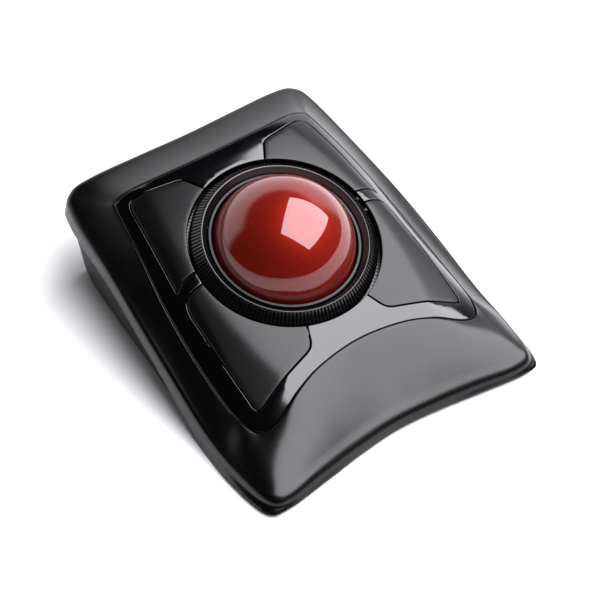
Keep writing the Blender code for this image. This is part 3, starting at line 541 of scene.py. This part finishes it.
def finish(name, colour, roughness, grain=0.16, depth=0.004, spread=0.06, tint=0.15, metallic=0.0,
           coat=0.0, specular=0.5, transmission=0.0):
    """A moulded or machined surface: fine grain in the bump, slow changes in roughness and in colour."""
    made = bpy.data.materials.new(name)
    made.use_nodes = True
    tree = made.node_tree
    shader = tree.nodes["Principled BSDF"]
    shader.inputs["Metallic"].default_value = metallic
    shader.inputs["Coat Weight"].default_value = coat
    shader.inputs["Coat Roughness"].default_value = 0.03
    shader.inputs["Specular IOR Level"].default_value = specular
    shader.inputs["Transmission Weight"].default_value = transmission
    place = tree.nodes.new("ShaderNodeTexCoord")
    fine = tree.nodes.new("ShaderNodeTexNoise")
    fine.inputs["Scale"].default_value = 1 / (grain * MM)
    fine.inputs["Detail"].default_value = 3
    slow = tree.nodes.new("ShaderNodeTexNoise")
    slow.inputs["Scale"].default_value = 90
    slow.inputs["Detail"].default_value = 5
    bump = tree.nodes.new("ShaderNodeBump")
    bump.inputs["Strength"].default_value = 0.6
    bump.inputs["Distance"].default_value = depth * MM
    rough = tree.nodes.new("ShaderNodeMapRange")
    rough.inputs["To Min"].default_value = max(0.02, roughness - spread)
    rough.inputs["To Max"].default_value = roughness + spread
    shade = tree.nodes.new("ShaderNodeMix")
    shade.data_type = "RGBA"
    shade.inputs["A"].default_value = (*[value * (1 - tint) for value in colour], 1)
    shade.inputs["B"].default_value = (*[min(1, value * (1 + tint)) for value in colour], 1)
    link = tree.links.new
    link(place.outputs["Object"], fine.inputs["Vector"])
    link(place.outputs["Object"], slow.inputs["Vector"])
    link(fine.outputs["Fac"], bump.inputs["Height"])
    link(bump.outputs["Normal"], shader.inputs["Normal"])
    link(slow.outputs["Fac"], rough.inputs["Value"])
    link(rough.outputs["Result"], shader.inputs["Roughness"])
    link(slow.outputs["Fac"], shade.inputs["Factor"])
    link(shade.outputs["Result"], shader.inputs["Base Color"])
    return made


def ball_finish():
    """Deep red resin under a clear gloss: a fine pearl grain glows where light falls on it."""
    made = finish("ball_red", (0.10, 0.0016, 0.0022), 0.09, grain=0.5, depth=0.0, spread=0.02)
    tree = made.node_tree
    shader = tree.nodes["Principled BSDF"]
    place = tree.nodes["Texture Coordinate"]
    flake = tree.nodes.new("ShaderNodeTexNoise")
    flake.inputs["Scale"].default_value = 1 / (0.35 * MM)
    flake.inputs["Detail"].default_value = 6
    flake.inputs["Roughness"].default_value = 0.75
    glow = tree.nodes.new("ShaderNodeValToRGB")
    glow.color_ramp.elements[0].position = 0.35
    glow.color_ramp.elements[0].color = (0.085, 0.0011, 0.0021, 1)
    glow.color_ramp.elements[1].position = 0.68
    glow.color_ramp.elements[1].color = (0.19, 0.013, 0.005, 1)
    shader.inputs["Metallic"].default_value = 0.5
    shader.inputs["Specular IOR Level"].default_value = 0.0
    shader.inputs["Coat Weight"].default_value = 1.0
    shader.inputs["Coat Roughness"].default_value = 0.035
    tree.links.remove(shader.inputs["Roughness"].links[0])
    shader.inputs["Roughness"].default_value = 0.46
    tree.links.new(place.outputs["Object"], flake.inputs["Vector"])
    tree.links.new(flake.outputs["Fac"], glow.inputs["Fac"])
    tree.links.new(glow.outputs["Color"], shader.inputs["Base Color"])
    return made


FINISHES = {
    "satin_charcoal": finish("satin_charcoal", (0.0005, 0.0005, 0.0006), 0.27, grain=0.22, depth=0.004,
                             spread=0.04, specular=0.31),
    "gloss_black": finish("gloss_black", (0.0006, 0.0006, 0.0008), 0.10, grain=0.6, depth=0.0008,
                          spread=0.02),
    "button_black": finish("button_black", (0.0007, 0.0007, 0.0009), 0.29, grain=0.2, depth=0.003,
                           spread=0.03, specular=0.29),
    "ring_black": finish("ring_black", (0.0012, 0.0012, 0.0014), 0.25, grain=0.2, depth=0.002, specular=0.5),
    "ball_red": ball_finish(),
    "inner_black": finish("inner_black", (0.0012, 0.0012, 0.0014), 0.42, grain=0.3, depth=0.006,
                          specular=0.3),
    "base_black": finish("base_black", (0.0100, 0.0100, 0.0106), 0.40, grain=0.35, depth=0.008,
                         specular=0.09),
    "rubber": finish("rubber", (0.012, 0.012, 0.012), 0.78, grain=0.12, depth=0.012, tint=0.3),
    "board_green": finish("board_green", (0.012, 0.09, 0.035), 0.38, grain=1.4, depth=0.01, tint=0.4),
    "steel": finish("steel", (0.56, 0.56, 0.58), 0.28, grain=0.1, depth=0.003, metallic=1.0),
    "ruby": finish("ruby", (0.45, 0.03, 0.07), 0.07, grain=0.4, depth=0.0, spread=0.02, coat=0.5),
    "clear_lens": finish("clear_lens", (0.82, 0.86, 0.88), 0.05, grain=0.5, depth=0.0, transmission=0.9),
    "chip_black": finish("chip_black", (0.014, 0.014, 0.016), 0.48, grain=0.12, depth=0.006),
    "cell_wrap": finish("cell_wrap", (0.10, 0.11, 0.13), 0.24, grain=0.8, depth=0.001, metallic=0.3),
    "spring_nickel": finish("spring_nickel", (0.68, 0.66, 0.60), 0.22, grain=0.1, depth=0.002, metallic=1.0),
    "white_plastic": finish("white_plastic", (0.62, 0.62, 0.60), 0.40, grain=0.25, depth=0.004, tint=0.05),
}


# Pieces -----------------------------------------------------------------------------------------------------


def drawn(name, shape, matrix):
    """An object made of a shape, in metres and in the frame's own place, with its faces turned outwards."""
    verts, faces = shape
    mesh = bpy.data.meshes.new(name)
    mesh.from_pydata([tuple((matrix @ Vector(point)) * MM) for point in verts], [], faces)
    made = bmesh.new()
    made.from_mesh(mesh)
    bmesh.ops.recalc_face_normals(made, faces=made.faces)
    made.to_mesh(mesh)
    made.free()
    thing = bpy.data.objects.new(name, mesh)
    bpy.context.scene.collection.objects.link(thing)
    return thing


def piece(name, shape, slot, body, *nodes, matrix=CENTRE, sharp=32):
    """A finished object that rides on a body and stands for its solids."""
    thing = drawn(name, shape, matrix)
    thing.data.materials.append(FINISHES[slot])
    smooth(thing, sharp)
    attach(thing, body)
    if nodes:
        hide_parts(*nodes)
    return thing


def smooth(thing, sharp=32):
    thing.data.shade_smooth()
    thing.data.set_sharp_from_angle(angle=math.radians(sharp))


def shaped(thing, operation, shape, matrix=CENTRE, sharp=32):
    """Cuts a shape from an object, or joins it on, and keeps the result as the object's own mesh."""
    helper = drawn("helper", shape, matrix)
    modifier = thing.modifiers.new("shape", "BOOLEAN")
    modifier.operation = operation
    modifier.solver = "EXACT"
    modifier.object = helper
    graph = bpy.context.evaluated_depsgraph_get()
    result = bpy.data.meshes.new_from_object(thing.evaluated_get(graph))
    thing.modifiers.clear()
    thing.data = result
    bpy.data.objects.remove(helper, do_unlink=True)
    smooth(thing, sharp)
    return thing


def repaint():
    """Gives every solid that stays in view its finish."""
    slots = {part["node"]: part["material_slot"] for part in frame["record"]["subparts"]}
    for name, thing in frame["nodes"].items():
        thing.data.materials.clear()
        thing.data.materials.append(FINISHES[slots[name]])


# The case ---------------------------------------------------------------------------------------------------

SCREW_R = 1.1
SCREW_HEAD_R = 2.4
SCREW_HEAD = 1.6


RIM_START, RIM_END = 0.07, 0.90
RIM_STEPS = 12
SHOULDER_DROP = 2.6
HEM = 0.35


def make_cover():
    """The top shell: a lip round the deck, the sloping rim, a rounded shoulder, the skirt and its inside."""
    rim, skirt = outline_loop(RIM), outline_loop(SKIRT)
    seat = DECK_THICKNESS + GAP
    under_rim = inset(rim, COVER_WALL, COVER_WALL)
    under_bezel = inset(BEZEL_LOOP, -0.6, seat + COVER_WALL)
    rows = [
        inset(BEZEL_LOOP, LEDGE, seat),
        inset(BEZEL_LOOP, 0, seat),
        inset(BEZEL_LOOP, 0, 0.5),
    ]
    lip = between(BEZEL_LOOP, rim, RIM_START, RIM_SAG, FRONT_SAG)
    rows += bend(inset(BEZEL_LOOP, 0, 0.5), inset(BEZEL_LOOP, 0, 0), lip, 4)[1:]
    for k in range(1, RIM_STEPS + 1):
        share = RIM_START + (RIM_END - RIM_START) * k / RIM_STEPS
        rows.append(between(BEZEL_LOOP, rim, share, RIM_SAG, FRONT_SAG))
    shoulder = inset(rim, -SKIRT_ROUNDING, SHOULDER_DROP)
    rows += bend(rows[-1], inset(rim, -0.75, -0.15), shoulder, 8)[1:]
    hem = [point + Vector((0, 0, HEM)) for point in skirt]
    rows += [between(shoulder, hem, share, -0.12) for share in (0.3, 0.6, 0.85, 1)]
    rows += bend(hem, skirt, inset(skirt, HEM), 3)[1:]
    rows += [inset(skirt, COVER_WALL), under_rim]
    rows += [between(under_rim, under_bezel, 0.5, 0.4), under_bezel, inset(BEZEL_LOOP, LEDGE, seat + 1.2)]
    return piece("case_cover", loft(rows, closed=True), "satin_charcoal", "housing", "top_cover", sharp=50)


def make_deck():
    """The gloss deck: its outer edge, and one inner edge that follows the four openings and the hole."""
    inner = []
    paths = []
    for row, side in (("back", 1), ("back", -1), ("front", -1), ("front", 1)):
        path = button_path(row, side, 0)
        angles = [math.atan2(path[0].y, path[0].x), math.atan2(path[-1].y, path[-1].x)]
        if (angles[1] - angles[0]) % TAU > math.pi:
            path = path[::-1]
        paths.append(path)
    for path, following in zip(paths, paths[1:] + paths[:1]):
        inner += path
        inner += hole_arc(path[-1], following[0], 1)
    outer = resampled([Vector((point.x, point.y)) for point in EDGE], 0.9)
    return piece("deck_plate", plate(outer, inner, EDGE_FILLET), "gloss_black", "housing", "deck_bezel",
                 sharp=40)


# Where each switch stands, and the stem under a cap that reaches down to it
SWITCHES = {"back": (33.0, 25.0), "front": (34.5, -36.0)}
STEM_R = 1.8
STEM_FOOT = -7.0
EDGE_FILLET = 0.3


def make_buttons():
    for row in ("back", "front"):
        for side, word in ((-1, "left"), (1, "right")):
            path = button_path(row, side, BUTTON_GAP)
            first, last = path[0], path[-1]
            sweep = (math.atan2(first.y, first.x) - math.atan2(last.y, last.x)) % TAU
            outline = path + hole_arc(last, first, 1 if sweep < math.pi else -1)
            name = f"button_{row}_{word}"
            shape = plate(outline, None, EDGE_FILLET)
            cap = piece(f"{name}_cap", shape, "button_black", name, name, sharp=40)
            x, y = SWITCHES[row]
            top = float(surface(side * x, y)) - 0.8 - DECK_SLOPE * y
            stem = turned(eased([(STEM_R, STEM_FOOT), (STEM_R, top)], 0.3, closed=False), 24, closed=False)
            spot = Matrix.Translation((side * x, y / math.cos(TILT), 0))
            shaped(cap, "UNION", placed(stem, spot), RING, sharp=40)


# The ring, the ball and its socket -----------------------------------------------------------------------

RIBS = 148
RIB_DEPTH = 0.5
RIB_SAMPLES = 8
SLOTS = 24
SKIRT_BOTTOM = -13.0
FLANGE_TOP = -6.0
FLANGE = 1.4
TRACK_TOP = -9.9


def rib(angle):
    """Depth of the groove between two ribs, from 0 on a rib's crown to 1 at its foot."""
    share = (angle * RIBS / TAU) % 1.0
    return max(0.0, math.cos(TAU * share)) ** 0.7


def make_ring():
    profile = [
        (RING_IN + 1.6, TRACK_TOP + GAP, 0), (RING_IN, TRACK_TOP + GAP, 0), (RING_IN, -1.1, 0),
        (RING_IN + 0.15, -0.85, 0), (RING_IN + 0.8, -0.2, 0), (RING_IN + 1.5, 0.5, 0),
        (RING_IN + 1.85, 0.92, 0), (RING_IN + 2.05, 1.15, 0), (RING_IN + 2.25, 1.27, 0),
        (RING_IN + 2.45, 1.25, 0), (RING_IN + 2.62, 1.08, 0), (RING_IN + 2.75, 0.88, 0.25),
        (RING_IN + 2.9, 0.68, 0.8), (RING_IN + 3.2, 0.3, 1), (RING_IN + 3.9, -0.5, 1),
        (RING_IN + 4.7, -1.3, 1), (RING_IN + 5.6, -2.1, 1), (RING_R - 0.15, -2.8, 1), (RING_R, -3.2, 1),
        (RING_R, FLANGE_TOP + 0.4, 1),
        (RING_R, FLANGE_TOP, 0), (RING_R + 2.25, FLANGE_TOP, 0), (RING_R + 2.4, FLANGE_TOP - 0.15, 0),
        (RING_R + 2.4, FLANGE_TOP - FLANGE, 0), (RING_R - 0.7, FLANGE_TOP - FLANGE, 0),
        (RING_R - 0.7, SKIRT_BOTTOM, 0), (RING_R - 2.1, SKIRT_BOTTOM, 0),
        (RING_R - 2.1, FLANGE_TOP - FLANGE, 0), (RING_IN + 1.6, FLANGE_TOP - FLANGE, 0),
    ]
    steps = RIBS * RIB_SAMPLES
    loops = []
    for radius, height, share in profile:
        loop = []
        for i in range(steps):
            angle = TAU * i / steps
            reach = radius - share * RIB_DEPTH * rib(angle)
            fall = 0.6 * share * RIB_DEPTH * rib(angle)
            loop.append(Vector((reach * math.cos(angle), reach * math.sin(angle), height - fall)))
        loops.append(loop)
    ring = piece("knurled_scroll_ring", loft(loops, closed=True), "ring_black", "scroll_ring", "scroll_ring",
                 matrix=RING, sharp=38)
    cuts = []
    for i in range(SLOTS):
        cut = box((4, 2.6, 2.6), (RING_R - 1.4, 0, SKIRT_BOTTOM + 1.0))
        cuts.append(placed(cut, Matrix.Rotation(TAU * (i + 0.5) / SLOTS, 4, "Z")))
    return shaped(ring, "DIFFERENCE", combined(*cuts), RING, sharp=38)


def make_ball():
    """The ball as six patches of a cube swelled to a sphere, so that its facets are even all over."""
    count = 56
    ball = bmesh.new()
    bmesh.ops.create_cube(ball, size=2.0)
    bmesh.ops.subdivide_edges(ball, edges=ball.edges[:], cuts=count, use_grid_fill=True)
    verts = []
    for vert in ball.verts:
        spread = Vector([math.tan(value * math.pi / 4) for value in vert.co])
        verts.append(spread.normalized() * BALL_R)
    ball.verts.ensure_lookup_table()
    faces = [tuple(vert.index for vert in face.verts) for face in ball.faces]
    ball.free()
    return piece("resin_ball", (verts, faces), "ball_red", "trackball", "trackball",
                 matrix=Matrix.Translation(BALL_CENTRE))


def pointing(way):
    """The frame at the ball's centre with its Z along a direction, in the ring's own frame."""
    turn = way.to_track_quat("Z", "Y").to_matrix().to_4x4()
    return Matrix.Translation((0, 0, -BALL_SINK)) @ turn


def bearing_ways():
    flat, fall = math.cos(math.radians(38)), math.sin(math.radians(38))
    angles = [math.radians(azimuth) for azimuth in (-90, 30, 150)]
    return [Vector((flat * math.cos(angle), flat * math.sin(angle), -fall)) for angle in angles]


def make_socket():
    """The ball's cup: a rounded collar up to the ring, a flange under its track and a seat on the frame."""
    track_low = TRACK_TOP - 1.0
    seat_top, seat = -15.0, 1.5
    lowest = -82
    profile = [(BALL_R + 0.35, -0.3), (BALL_R + 0.15, -0.5), (BALL_R + 0.2, -1.2), (CUP_IN, -1.8)]
    for k in range(15):
        angle = math.radians(lowest * k / 14)
        profile.append((CUP_IN * math.cos(angle), CUP_IN * math.sin(angle) - BALL_SINK))
    seat_angle = math.degrees(math.asin((seat_top - seat + BALL_SINK) / CUP_OUT))
    for k in range(12):
        angle = math.radians(lowest + (seat_angle - lowest) * k / 11)
        profile.append((CUP_OUT * math.cos(angle), CUP_OUT * math.sin(angle) - BALL_SINK))
    seat_r = COLLAR_R + 4.0
    profile += [
        (seat_r, seat_top - seat), (seat_r, seat_top), (CUP_OUT - 0.4, seat_top),
        (CUP_OUT - 0.2, track_low - 1.5), (COLLAR_R + 3.0, track_low - 1.5),
        (COLLAR_R + 3.0, track_low - 0.2),
        (COLLAR_R, track_low - 0.2), (COLLAR_R, -0.5), (COLLAR_R - 0.2, -0.3),
    ]
    cup = piece("ball_socket", turned(profile, 144), "inner_black", "housing", "ball_cup", matrix=RING)
    upright = Matrix.Translation((0, 0, -BALL_SINK)) @ Matrix.Rotation(-TILT, 4, "X")
    cuts = [placed(rod(11.0, -2 * CUP_OUT, -CUP_IN * 0.6, steps=48), upright)]
    for way in bearing_ways():
        cuts.append(placed(rod(1.25, BALL_R - 2, BALL_R + 2.4, steps=20), pointing(way)))
    steep = math.radians(35) + TILT
    window = Vector((0, math.cos(steep), -math.sin(steep)))
    cuts.append(placed(rod(3.6, CUP_IN - 3, CUP_OUT + 3, steps=32), pointing(window)))
    seat_z = seat_top - seat / 2
    cuts.append(box((57.3, 8, seat + 0.4), (0, -CUP_OUT + 0.5 - 4, seat_z)))
    cuts.append(box((15, 8, seat + 0.4), (0, CUP_OUT - 0.55 + 4, seat_z)))
    return shaped(cup, "DIFFERENCE", combined(*cuts), RING)


# The underside ----------------------------------------------------------------------------------------------

DOOR_LOW, DOOR_HIGH = [corner / MM - RING_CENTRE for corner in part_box("battery_door")]
DOOR_GAP = 0.4
FEET = [f"foot_{row}_{side}" for row in ("back", "front") for side in ("left", "right")]
SCREWS = [name.replace("foot", "screw") for name in FEET]
FOOT_R = 5.5
FOOT_RECESS = 0.8


def middle_of(node):
    """The middle of a solid's box, about the ring's centre."""
    lowest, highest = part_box(node)
    return (lowest + highest) / 2 / MM - RING_CENTRE


def size_of(node):
    lowest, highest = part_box(node)
    return (highest - lowest) / MM


def make_base():
    """The tub: a floor with openings for what is reached from below, and walls up into the cover."""
    foot, top = outline_loop(BASE_FOOT), outline_loop(BASE_TOP)
    middle = between(foot, top, 0.5)
    rows = bend(inset(foot, 1.1), foot, between(foot, top, 0.22), 5)
    rows += [middle, between(foot, top, 0.75), top, inset(top, BASE_WALL), inset(middle, BASE_WALL)]
    rows.append(inset(foot, BASE_WALL + 0.8, -BASE_FLOOR))
    base = piece("base_tub", loft(rows), "base_black", "housing", "base", sharp=45)
    floor_z = low(GROUND_GAP + BASE_FLOOR / 2)
    wide, deep, _ = DOOR_HIGH - DOOR_LOW
    spot = (DOOR_LOW + DOOR_HIGH) / 2
    cuts = [box((wide + 2 * DOOR_GAP, deep + 2 * DOOR_GAP, 3 * BASE_FLOOR), (spot.x, spot.y, floor_z))]
    receiver, slider = middle_of("usb_receiver"), middle_of("power_slider")
    cuts.append(box((size_of("usb_receiver").x + 0.6, 14, size_of("usb_receiver").z + 0.6),
                    (receiver.x, 68.0, receiver.z)))
    cuts.append(box((8.6, 3.8, 3 * BASE_FLOOR), (slider.x + 2.0, slider.y, floor_z)))
    pair = middle_of("pairing_button")
    cuts.append(rod(2.3, low(-1), low(FLOOR_TOP + 1), (pair.x, pair.y), 40))
    for node in FEET:
        spot = middle_of(node)
        cuts.append(rod(FOOT_R + 0.3, low(-1), low(GROUND_GAP + FOOT_RECESS), (spot.x, spot.y), 64))
    shaped(base, "DIFFERENCE", combined(*cuts), sharp=45)
    cuts = []
    for node in SCREWS:
        spot = middle_of(node)
        profile = [(SCREW_HEAD_R + 0.3, low(-2)),
                   (SCREW_HEAD_R + 0.3, low(GROUND_GAP + SCREW_HEAD + 0.4)),
                   (SCREW_R + 0.3, low(GROUND_GAP + SCREW_HEAD + 0.4)), (SCREW_R + 0.3, low(FLOOR_TOP + 2))]
        shape = turned(profile, 40, closed=False)
        cuts.append(placed(shape, Matrix.Translation((spot.x, spot.y, 0))))
    shaped(base, "DIFFERENCE", combined(*cuts), sharp=45)
    walls = []
    for side in (1, -1):
        walls.append(box((1.4, deep + 2.8, 9.5), (side * (DOOR_HIGH.x + DOOR_GAP + 0.7),
                         (DOOR_LOW.y + DOOR_HIGH.y) / 2, low(FLOOR_TOP + 4.55))))
    shaped(base, "UNION", combined(*walls), sharp=45)


def make_door():
    """The battery door: a plate with a thumb notch at its back edge and a patch of grip grooves."""
    wide, deep, tall = DOOR_HIGH - DOOR_LOW
    spot = (DOOR_LOW + DOOR_HIGH) / 2
    plate_shape = rounded_slab((wide, deep, tall), 1.5, 0.35, spot)
    door = piece("battery_door_plate", plate_shape, "base_black", "battery_door", "battery_door", sharp=40)
    cuts = []
    for k in range(6):
        groove = box((20 - 1.4 * k, 0.55, 0.8), (0, DOOR_HIGH.y - 11.5 - 1.5 * k, DOOR_LOW.z))
        cuts.append(groove)
    notch = placed(rod(5.0, -7, 7, steps=64), Matrix.Translation((0, DOOR_HIGH.y - 4.0, DOOR_LOW.z - 4.35))
                   @ Matrix.Rotation(math.pi / 2, 4, "Y"))
    shaped(door, "DIFFERENCE", combined(*cuts), sharp=40)
    shaped(door, "DIFFERENCE", notch, sharp=40)


def make_feet():
    for node in FEET:
        spot = middle_of(node)
        profile = eased([
            (0.02, low(0.12)), (FOOT_R - 2.4, low(0.12)), (FOOT_R - 2.1, low(0)), (FOOT_R - 0.8, low(0)),
            (FOOT_R, low(0.6)), (FOOT_R, low(GROUND_GAP + FOOT_RECESS - 0.3)),
        ], 0.3, closed=False)
        shape = placed(turned(profile, 72, closed=False), Matrix.Translation((spot.x, spot.y, 0)))
        piece(f"{node}_pad", shape, "rubber", "housing", node)


def make_screws():
    """Screws with domed heads and a cross recess, set into their counterbores."""
    for node in SCREWS:
        lowest, highest = [corner / MM - RING_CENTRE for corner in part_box(node)]
        spot = (lowest + highest) / 2
        head = lowest.z
        profile = [(0.02, head), (SCREW_HEAD_R - 1.1, head + 0.04), (SCREW_HEAD_R - 0.4, head + 0.2),
                   (SCREW_HEAD_R, head + 0.55), (SCREW_HEAD_R, head + SCREW_HEAD - 0.2),
                   (SCREW_R, head + SCREW_HEAD - 0.2), (SCREW_R, highest.z - 1), (0.3, highest.z)]
        shape = placed(turned(profile, 40, closed=False), Matrix.Translation((spot.x, spot.y, 0)))
        screw = piece(f"{node}_cross_head", shape, "steel", "housing", node)
        turn = Matrix.Translation((spot.x, spot.y, head)) @ Matrix.Rotation(0.6 + spot.x, 4, "Z")
        for arm in ((0.62, 2.5, 1.5), (2.5, 0.62, 1.5)):
            shaped(screw, "DIFFERENCE", placed(box(arm), turn))


def make_receiver():
    """The stored receiver: a rounded cap at the wall, and its metal plug turned inwards."""
    wide, deep, tall = size_of("usb_receiver")
    spot = middle_of("usb_receiver")
    back = spot.y + deep / 2
    turn = Matrix.Translation((spot.x, back - 3.2, spot.z)) @ Matrix.Rotation(math.pi / 2, 4, "X")
    cap = piece("receiver_cap", placed(rounded_slab((wide, tall, 6.4), 1.3, 0.6), turn), "inner_black",
                "usb_receiver", "usb_receiver")
    grip = box((wide - 4.5, 0.9, 0.7), (spot.x, back, spot.z))
    shaped(cap, "DIFFERENCE", grip)
    turn = Matrix.Translation((spot.x, back - 6.0 - (deep - 6.0) / 2, spot.z))
    turn = turn @ Matrix.Rotation(math.pi / 2, 4, "X")
    plug = rounded_slab((12.0, 4.5, deep - 6.0), 0.5, 0.15)
    piece("receiver_plug", placed(plug, turn), "steel", "usb_receiver")


def make_controls():
    """The power switch's ridged knob on its plate, and the domed pairing button."""
    lowest, highest = [corner / MM - RING_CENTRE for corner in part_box("power_slider")]
    spot = (lowest + highest) / 2
    knob = rounded_slab((4, 3.2, 2.6), 0.5, 0.3, (spot.x, spot.y, low(GROUND_GAP + 1.1)))
    slider = piece("power_slider_knob", knob, "white_plastic", "power_slider", "power_slider")
    ridges = [box((0.35, 2.4, 0.5), (spot.x + 0.8 * k, spot.y, low(GROUND_GAP - 0.2))) for k in (-1, 0, 1)]
    shaped(slider, "DIFFERENCE", combined(*ridges))
    shaped(slider, "UNION", box((13, 5.6, 1.2), (spot.x, spot.y, low(FLOOR_TOP + 0.9))))
    pair = middle_of("pairing_button")
    profile = [(0.02, low(GROUND_GAP - 0.4)), (0.9, low(GROUND_GAP - 0.36)), (1.6, low(GROUND_GAP - 0.18)),
               (2.0, low(GROUND_GAP + 0.2)), (2.0, low(FLOOR_TOP + 0.3)), (3.2, low(FLOOR_TOP + 0.3)),
               (3.2, low(FLOOR_TOP + 1.3))]
    shape = placed(turned(profile, 40, closed=False), Matrix.Translation((pair.x, pair.y, 0)))
    piece("pairing_button_dome", shape, "white_plastic", "pairing_button", "pairing_button")


# Camera, light and floor ------------------------------------------------------------------------------------


# The camera's direction from the ring's centre in degrees, its lens in millimetres and its place in metres
AZIMUTH, ELEVATION = -35.27, 47.57
LENS, SENSOR = 117.54, 36
DISTANCE, TO_THE_RIGHT, DOWN = 0.7279, 0.00538, 0.02274


def make_camera():
    azimuth, elevation = math.radians(AZIMUTH), math.radians(ELEVATION)
    flat = math.cos(elevation)
    back = Vector((math.sin(azimuth) * flat, -math.cos(azimuth) * flat, math.sin(elevation)))
    right = Vector((math.cos(azimuth), math.sin(azimuth), 0))
    up = back.cross(right)
    lens = bpy.data.cameras.new("camera")
    lens.lens = LENS
    lens.sensor_width = SENSOR
    camera = bpy.data.objects.new("camera", lens)
    bpy.context.scene.collection.objects.link(camera)
    matrix = Matrix((right, up, back)).transposed().to_4x4()
    matrix.translation = RING_CENTRE * MM + back * DISTANCE + right * TO_THE_RIGHT - up * DOWN
    camera.matrix_world = matrix
    bpy.context.scene.camera = camera


def softbox(name, centre, across, size, radiance, colour=(1, 1, 1)):
    """A rectangular light at a place, facing the object, with its long side along a direction."""
    away = Vector(centre).normalized()
    up = away.cross(Vector(across)).normalized()
    along = up.cross(away)
    light = bpy.data.lights.new(name, "AREA")
    light.shape = "RECTANGLE"
    light.size, light.size_y = size
    light.energy = radiance * math.pi * size[0] * size[1]
    light.color = colour
    thing = bpy.data.objects.new(name, light)
    bpy.context.scene.collection.objects.link(thing)
    matrix = Matrix((along, up, away)).transposed().to_4x4()
    matrix.translation = Vector(centre)
    thing.matrix_world = matrix
    thing.visible_camera = False
    return thing


TABLE_REACH = 650.0


def make_studio():
    """One large box above the right front, a pale wall behind and nothing on the left."""
    softbox("key_box", (0.465, -0.265, 0.885), (0.70, 0.70, -0.17), (1.42, 1.13), 10.5, (0.985, 0.985, 1.03))
    world = bpy.data.worlds.new("studio")
    bpy.context.scene.world = world
    world.use_nodes = True
    tree = world.node_tree
    link = tree.links.new
    place = tree.nodes.new("ShaderNodeTexCoord")
    apart = tree.nodes.new("ShaderNodeSeparateXYZ")
    link(place.outputs["Generated"], apart.inputs["Vector"])
    turn = tree.nodes.new("ShaderNodeVectorMath")
    turn.operation = "DOT_PRODUCT"
    turn.inputs[1].default_value = (0.29, 0.957, 0)
    link(place.outputs["Generated"], turn.inputs[0])
    sides = tree.nodes.new("ShaderNodeMapRange")
    sides.interpolation_type = "SMOOTHSTEP"
    sides.inputs["From Min"].default_value, sides.inputs["From Max"].default_value = 0.24, 0.50
    link(turn.outputs["Value"], sides.inputs["Value"])
    top = tree.nodes.new("ShaderNodeMapRange")
    top.interpolation_type = "SMOOTHSTEP"
    top.inputs["From Min"].default_value, top.inputs["From Max"].default_value = 0.64, 0.44
    link(apart.outputs["Z"], top.inputs["Value"])
    wall = tree.nodes.new("ShaderNodeMath")
    wall.operation = "MULTIPLY"
    link(sides.outputs["Result"], wall.inputs[0])
    link(top.outputs["Result"], wall.inputs[1])
    shade = tree.nodes.new("ShaderNodeMix")
    shade.data_type = "RGBA"
    shade.inputs["A"].default_value = (0.016, 0.016, 0.017, 1)
    shade.inputs["B"].default_value = (1.55, 1.55, 1.61, 1)
    link(wall.outputs["Value"], shade.inputs["Factor"])
    sky = tree.nodes["Background"]
    link(shade.outputs["Result"], sky.inputs["Color"])
    seen = tree.nodes.new("ShaderNodeBackground")
    seen.inputs["Color"].default_value = (1.02, 1.02, 1.02, 1)
    path = tree.nodes.new("ShaderNodeLightPath")
    mix = tree.nodes.new("ShaderNodeMixShader")
    link(path.outputs["Is Camera Ray"], mix.inputs["Fac"])
    link(sky.outputs["Background"], mix.inputs[1])
    link(seen.outputs["Background"], mix.inputs[2])
    link(mix.outputs["Shader"], tree.nodes["World Output"].inputs["Surface"])
    bpy.context.scene.view_settings.view_transform = "Standard"


def make_table():
    """A white table whose top is solid and whose underside lets rays through, so that it hides nothing."""
    side = TABLE_REACH * MM
    corners = [(x * side, y * side, 0) for x, y in ((-1, -1), (1, -1), (1, 1), (-1, 1))]
    mesh = bpy.data.meshes.new("table")
    mesh.from_pydata(corners, [], [(0, 1, 2, 3)])
    mesh.materials.append(finish("table_white", (0.66, 0.66, 0.66), 0.9, grain=2.0, depth=0.0, tint=0.01,
                                 specular=0.1))
    tree = mesh.materials[0].node_tree
    link = tree.links.new
    face = tree.nodes.new("ShaderNodeNewGeometry")
    clear = tree.nodes.new("ShaderNodeBsdfTransparent")
    either = tree.nodes.new("ShaderNodeMixShader")
    link(face.outputs["Backfacing"], either.inputs["Fac"])
    link(tree.nodes["Principled BSDF"].outputs["BSDF"], either.inputs[1])
    link(clear.outputs["BSDF"], either.inputs[2])
    link(either.outputs["Shader"], tree.nodes["Material Output"].inputs["Surface"])
    floor = bpy.data.objects.new("table", mesh)
    bpy.context.scene.collection.objects.link(floor)


make_camera()
make_studio()
make_table()
repaint()
make_cover()
make_deck()
make_buttons()
make_ring()
make_ball()
make_socket()
make_base()
make_door()
make_feet()
make_screws()
make_receiver()
make_controls()
